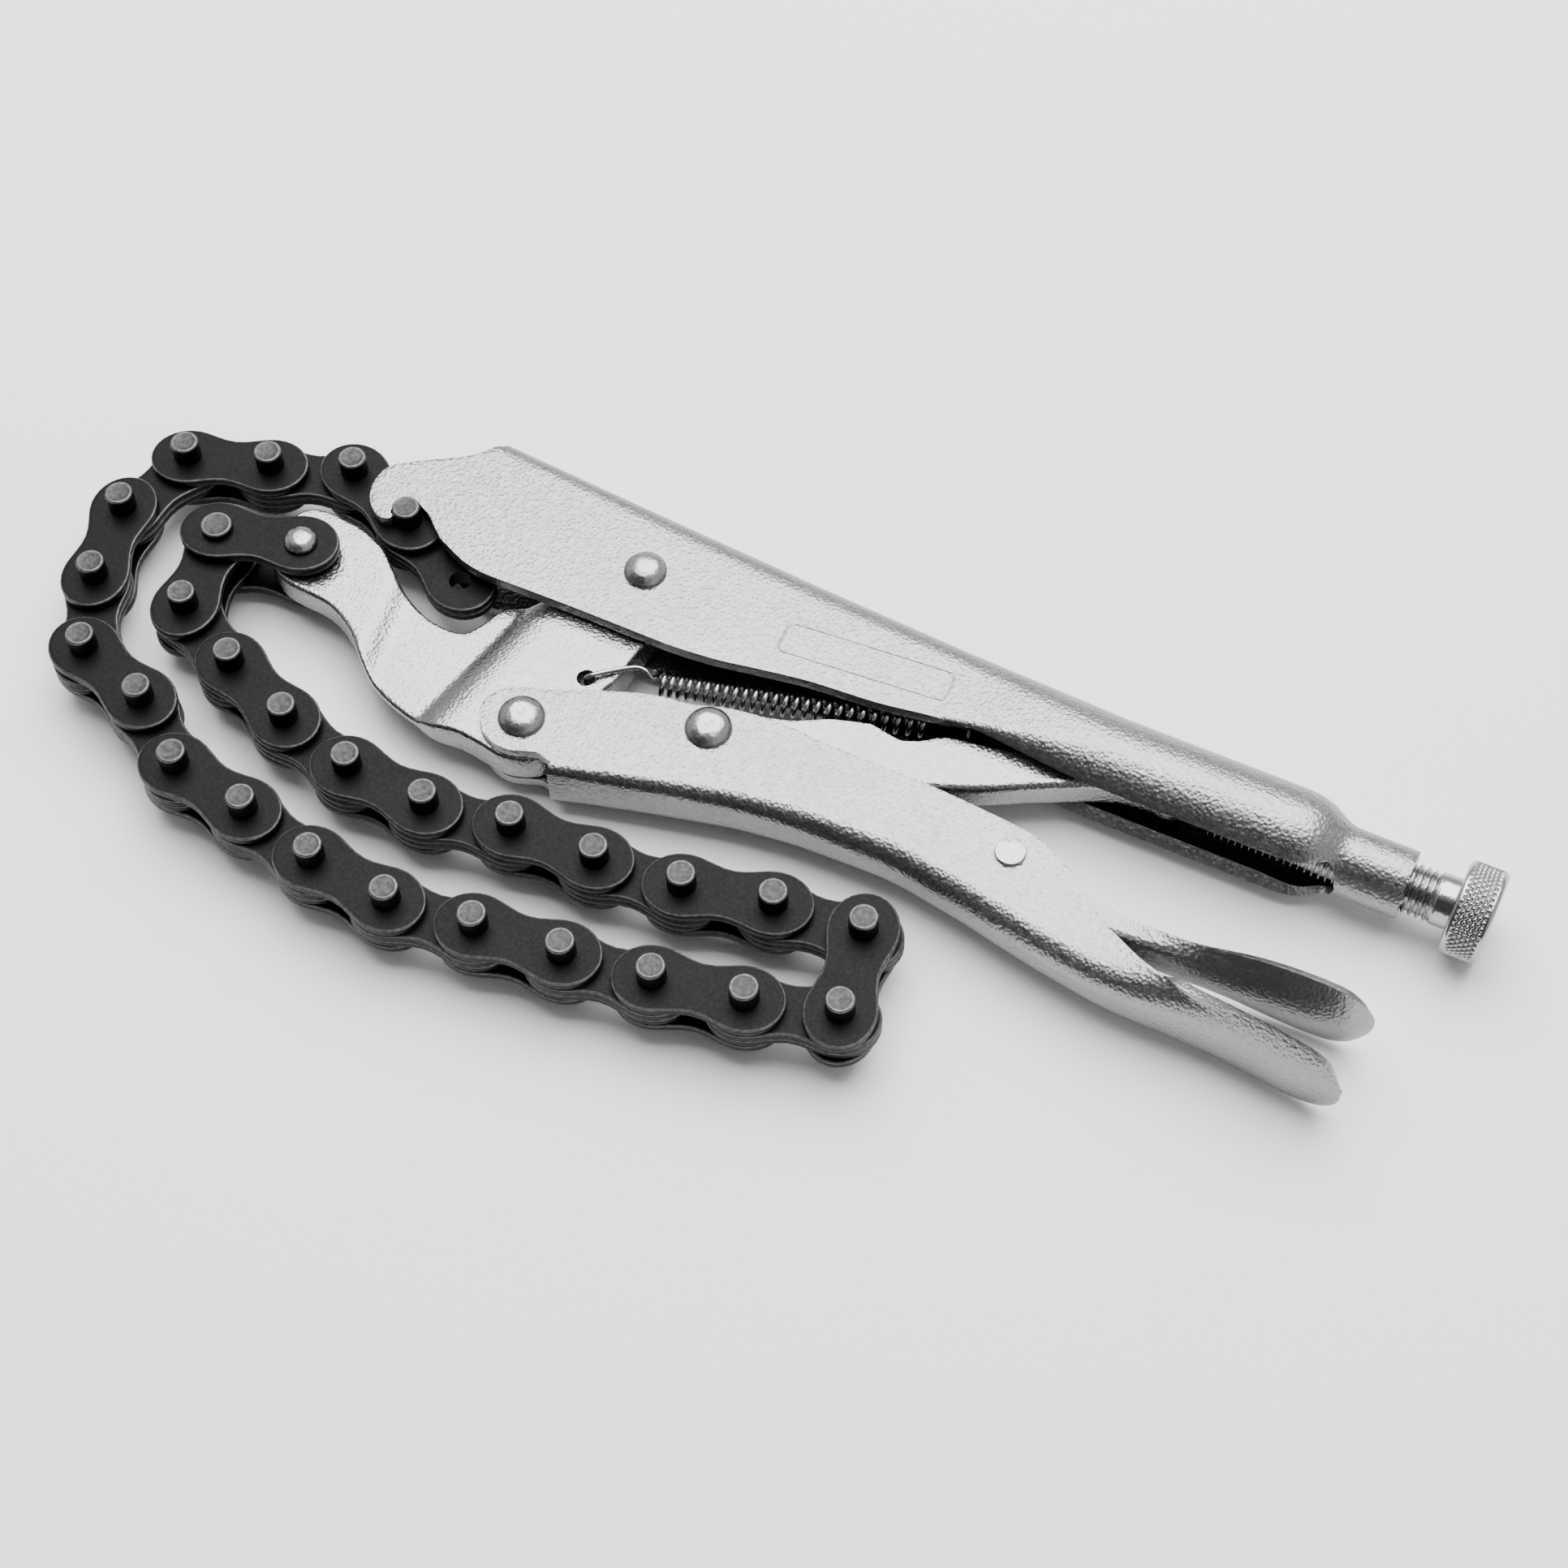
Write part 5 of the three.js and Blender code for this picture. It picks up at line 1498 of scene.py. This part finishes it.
@dataclass
class Spring:
    """Tension spring from the jaw's hole to a tab in the handle, its pitch growing rearwards."""

    wire: float = 0.45
    radius: float = 2.05
    curls: int = 26
    steps: int = 20
    sides: int = 10
    front: tuple[float, float] = (10.8, -17.3)
    rear: tuple[float, float] = (57.5, -4.9)
    tab: float = 65.0
    over: float = 3.95
    beside: float = 1.5

    def path(self) -> Array:
        """Centre line: hook in the jaw, curls, hook in the tab."""
        front, rear = np.asarray(self.front), np.asarray(self.rear)
        length = float(np.linalg.norm(rear - front))
        along = (rear - front) / length
        across = left_of(along)

        def place(reach: Array, side: Array, height: Array) -> Array:
            plan = front + np.multiply.outer(reach, along) + np.multiply.outer(side, across)
            return raised(plan, height)

        share = np.arange(self.curls * self.steps + 1) / (self.curls * self.steps)
        angle = 2 * math.pi * share * self.curls
        reach = length * share * (0.8 + 0.2 * share)
        curls = place(reach, self.radius * np.sin(angle), self.radius * np.cos(angle))
        hole, over = np.asarray(SPRING_HOLE) - front, self.over
        at, off = float(hole @ along), float(hole @ across)
        hook = place(
            np.array([at, at, at + 0.2, at + 1.2, at + 3.0, -4.2, -2.0, -0.6]),
            np.array([off, off, off, off * 0.92, off * 0.6, 0.1, 0.0, -0.9]),
            np.array([-2.6, 2.6, over - 0.5, over + 0.1, over, over, over - 0.1, 3.0]),
        )
        far = (self.tab - front[0]) / along[0]
        tail = place(
            np.array([length + 1.4, length + 3.0, far - 1.0, far, far]),
            np.array([0.7, 0.0, 0.0, 0.0, 0.0]),
            np.array([2.0, self.beside, self.beside, 0.7, -self.beside]),
        )
        return np.concatenate([spline(hook, 6, False), curls, spline(tail, 5, False)])

    def make(self) -> None:
        """Makes the wire, which stretches between the handle and the jaw."""
        skin = Skin()
        sweep(skin, self.path(), self.wire, self.sides)
        piece = dress(skin.build("return_spring_wire"), WIRE, "", "return_spring")
        ends = [Tool.place(np.array([*point, 0.0])) for point in (self.rear, self.front)]
        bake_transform(piece)


# Studio


@dataclass
class Studio:
    """Pale floor, plain soft light and a camera at the photograph's angle."""

    location: tuple[float, float, float] = (0.130634, -0.225628, 0.423919)
    right: tuple[float, float, float] = (0.900213, 0.435180, -0.015358)
    up: tuple[float, float, float] = (-0.360801, 0.765172, 0.533218)
    back: tuple[float, float, float] = (0.243797, -0.474468, 0.845830)
    lens: float = 64.83
    sensor: float = 36.0
    floor_half: float = 6.0
    room: tuple[float, float] = (0.85, 0.1)  # strength of its pale walls and of its dark side
    dark_side: tuple[float, float, float] = (-0.2, -0.87, 0.45)
    box_place: tuple[float, float, float] = (-0.1, 0.35, 0.9)
    box_size: float = 1.1
    box_energy: float = 29.0

    def camera(self) -> None:
        """Camera fitted to the pins and pivots that the photograph shows."""
        data = bpy.data.cameras.new("camera")
        data.lens, data.sensor_width, data.sensor_fit = self.lens, self.sensor, "AUTO"
        data.clip_start, data.clip_end = 0.01, 20.0
        camera = bpy.data.objects.new("camera", data)
        bpy.context.scene.collection.objects.link(camera)
        turn = Matrix((self.right, self.up, self.back)).transposed()
        camera.matrix_world = Matrix.Translation(self.location) @ turn.to_4x4()
        bpy.context.scene.camera = camera

    def floor(self) -> None:
        """Matt white floor, a wide square just below the tool."""
        size = self.floor_half
        mesh = bpy.data.meshes.new("floor")
        corners = [(-size, -size, 0), (size, -size, 0), (size, size, 0), (-size, size, 0)]
        mesh.from_pydata(corners, [], [(0, 1, 2, 3)])
        floor = bpy.data.objects.new("floor", mesh)
        bpy.context.scene.collection.objects.link(floor)
        matt = bpy.data.materials.new("matt_white_sweep")
        matt.use_nodes = True
        shader = matt.node_tree.nodes["Principled BSDF"]
        shader.inputs["Base Color"].default_value = linear("#F7F7F7")
        shader.inputs["Roughness"].default_value = 0.9
        shader.inputs["Specular IOR Level"].default_value = 0.1
        mesh.materials.append(matt)

    def light(self) -> None:
        """Pale room, darker low down on the camera's side, and one wide soft box overhead."""
        world = bpy.data.worlds.new("white_room")
        world.use_nodes = True
        bpy.context.scene.world = world
        tree = world.node_tree
        sky = tree.nodes["Background"]
        way = add_node(tree, "ShaderNodeTexCoord").outputs["Generated"]
        towards = add_node(
            tree, "ShaderNodeVectorMath", {"operation": "DOT_PRODUCT", 1: self.dark_side}, {0: way}
        )
        shade = add_node(
            tree, "ShaderNodeMapRange",
            {
                "interpolation_type": "SMOOTHSTEP", "From Min": 0.35, "From Max": 0.95,
                "To Min": self.room[0], "To Max": self.room[1],
            },
            {"Value": towards.outputs["Value"]},
        )
        tree.links.new(shade.outputs["Result"], sky.inputs["Strength"])
        sky.inputs["Color"].default_value = (1.0, 1.0, 1.0, 1.0)
        lamp = bpy.data.lights.new("soft_box", "AREA")
        lamp.shape, lamp.size, lamp.size_y = "RECTANGLE", self.box_size, self.box_size
        lamp.energy = self.box_energy
        box = bpy.data.objects.new("soft_box", lamp)
        box.location = self.box_place
        box.rotation_euler = Vector(box.location).to_track_quat("Z", "Y").to_euler()
        bpy.context.scene.collection.objects.link(box)


def main() -> None:
    """Makes the camera, the pieces in order, and the studio."""
    logging.basicConfig(level=logging.INFO, format="%(message)s")
    studio = Studio()
    studio.camera()
    Chain().make()
    Jaw().make()
    UpperHandle().make()
    LowerHandle().make()
    ToggleLink().make()
    ReleaseLever().make()
    screw = Screw()
    screw.make_screw()
    screw.make_knob()
    for rivet in RIVETS:
        rivet.make()
    Spring().make()
    studio.floor()
    studio.light()


if __name__ == "__main__":
    main()
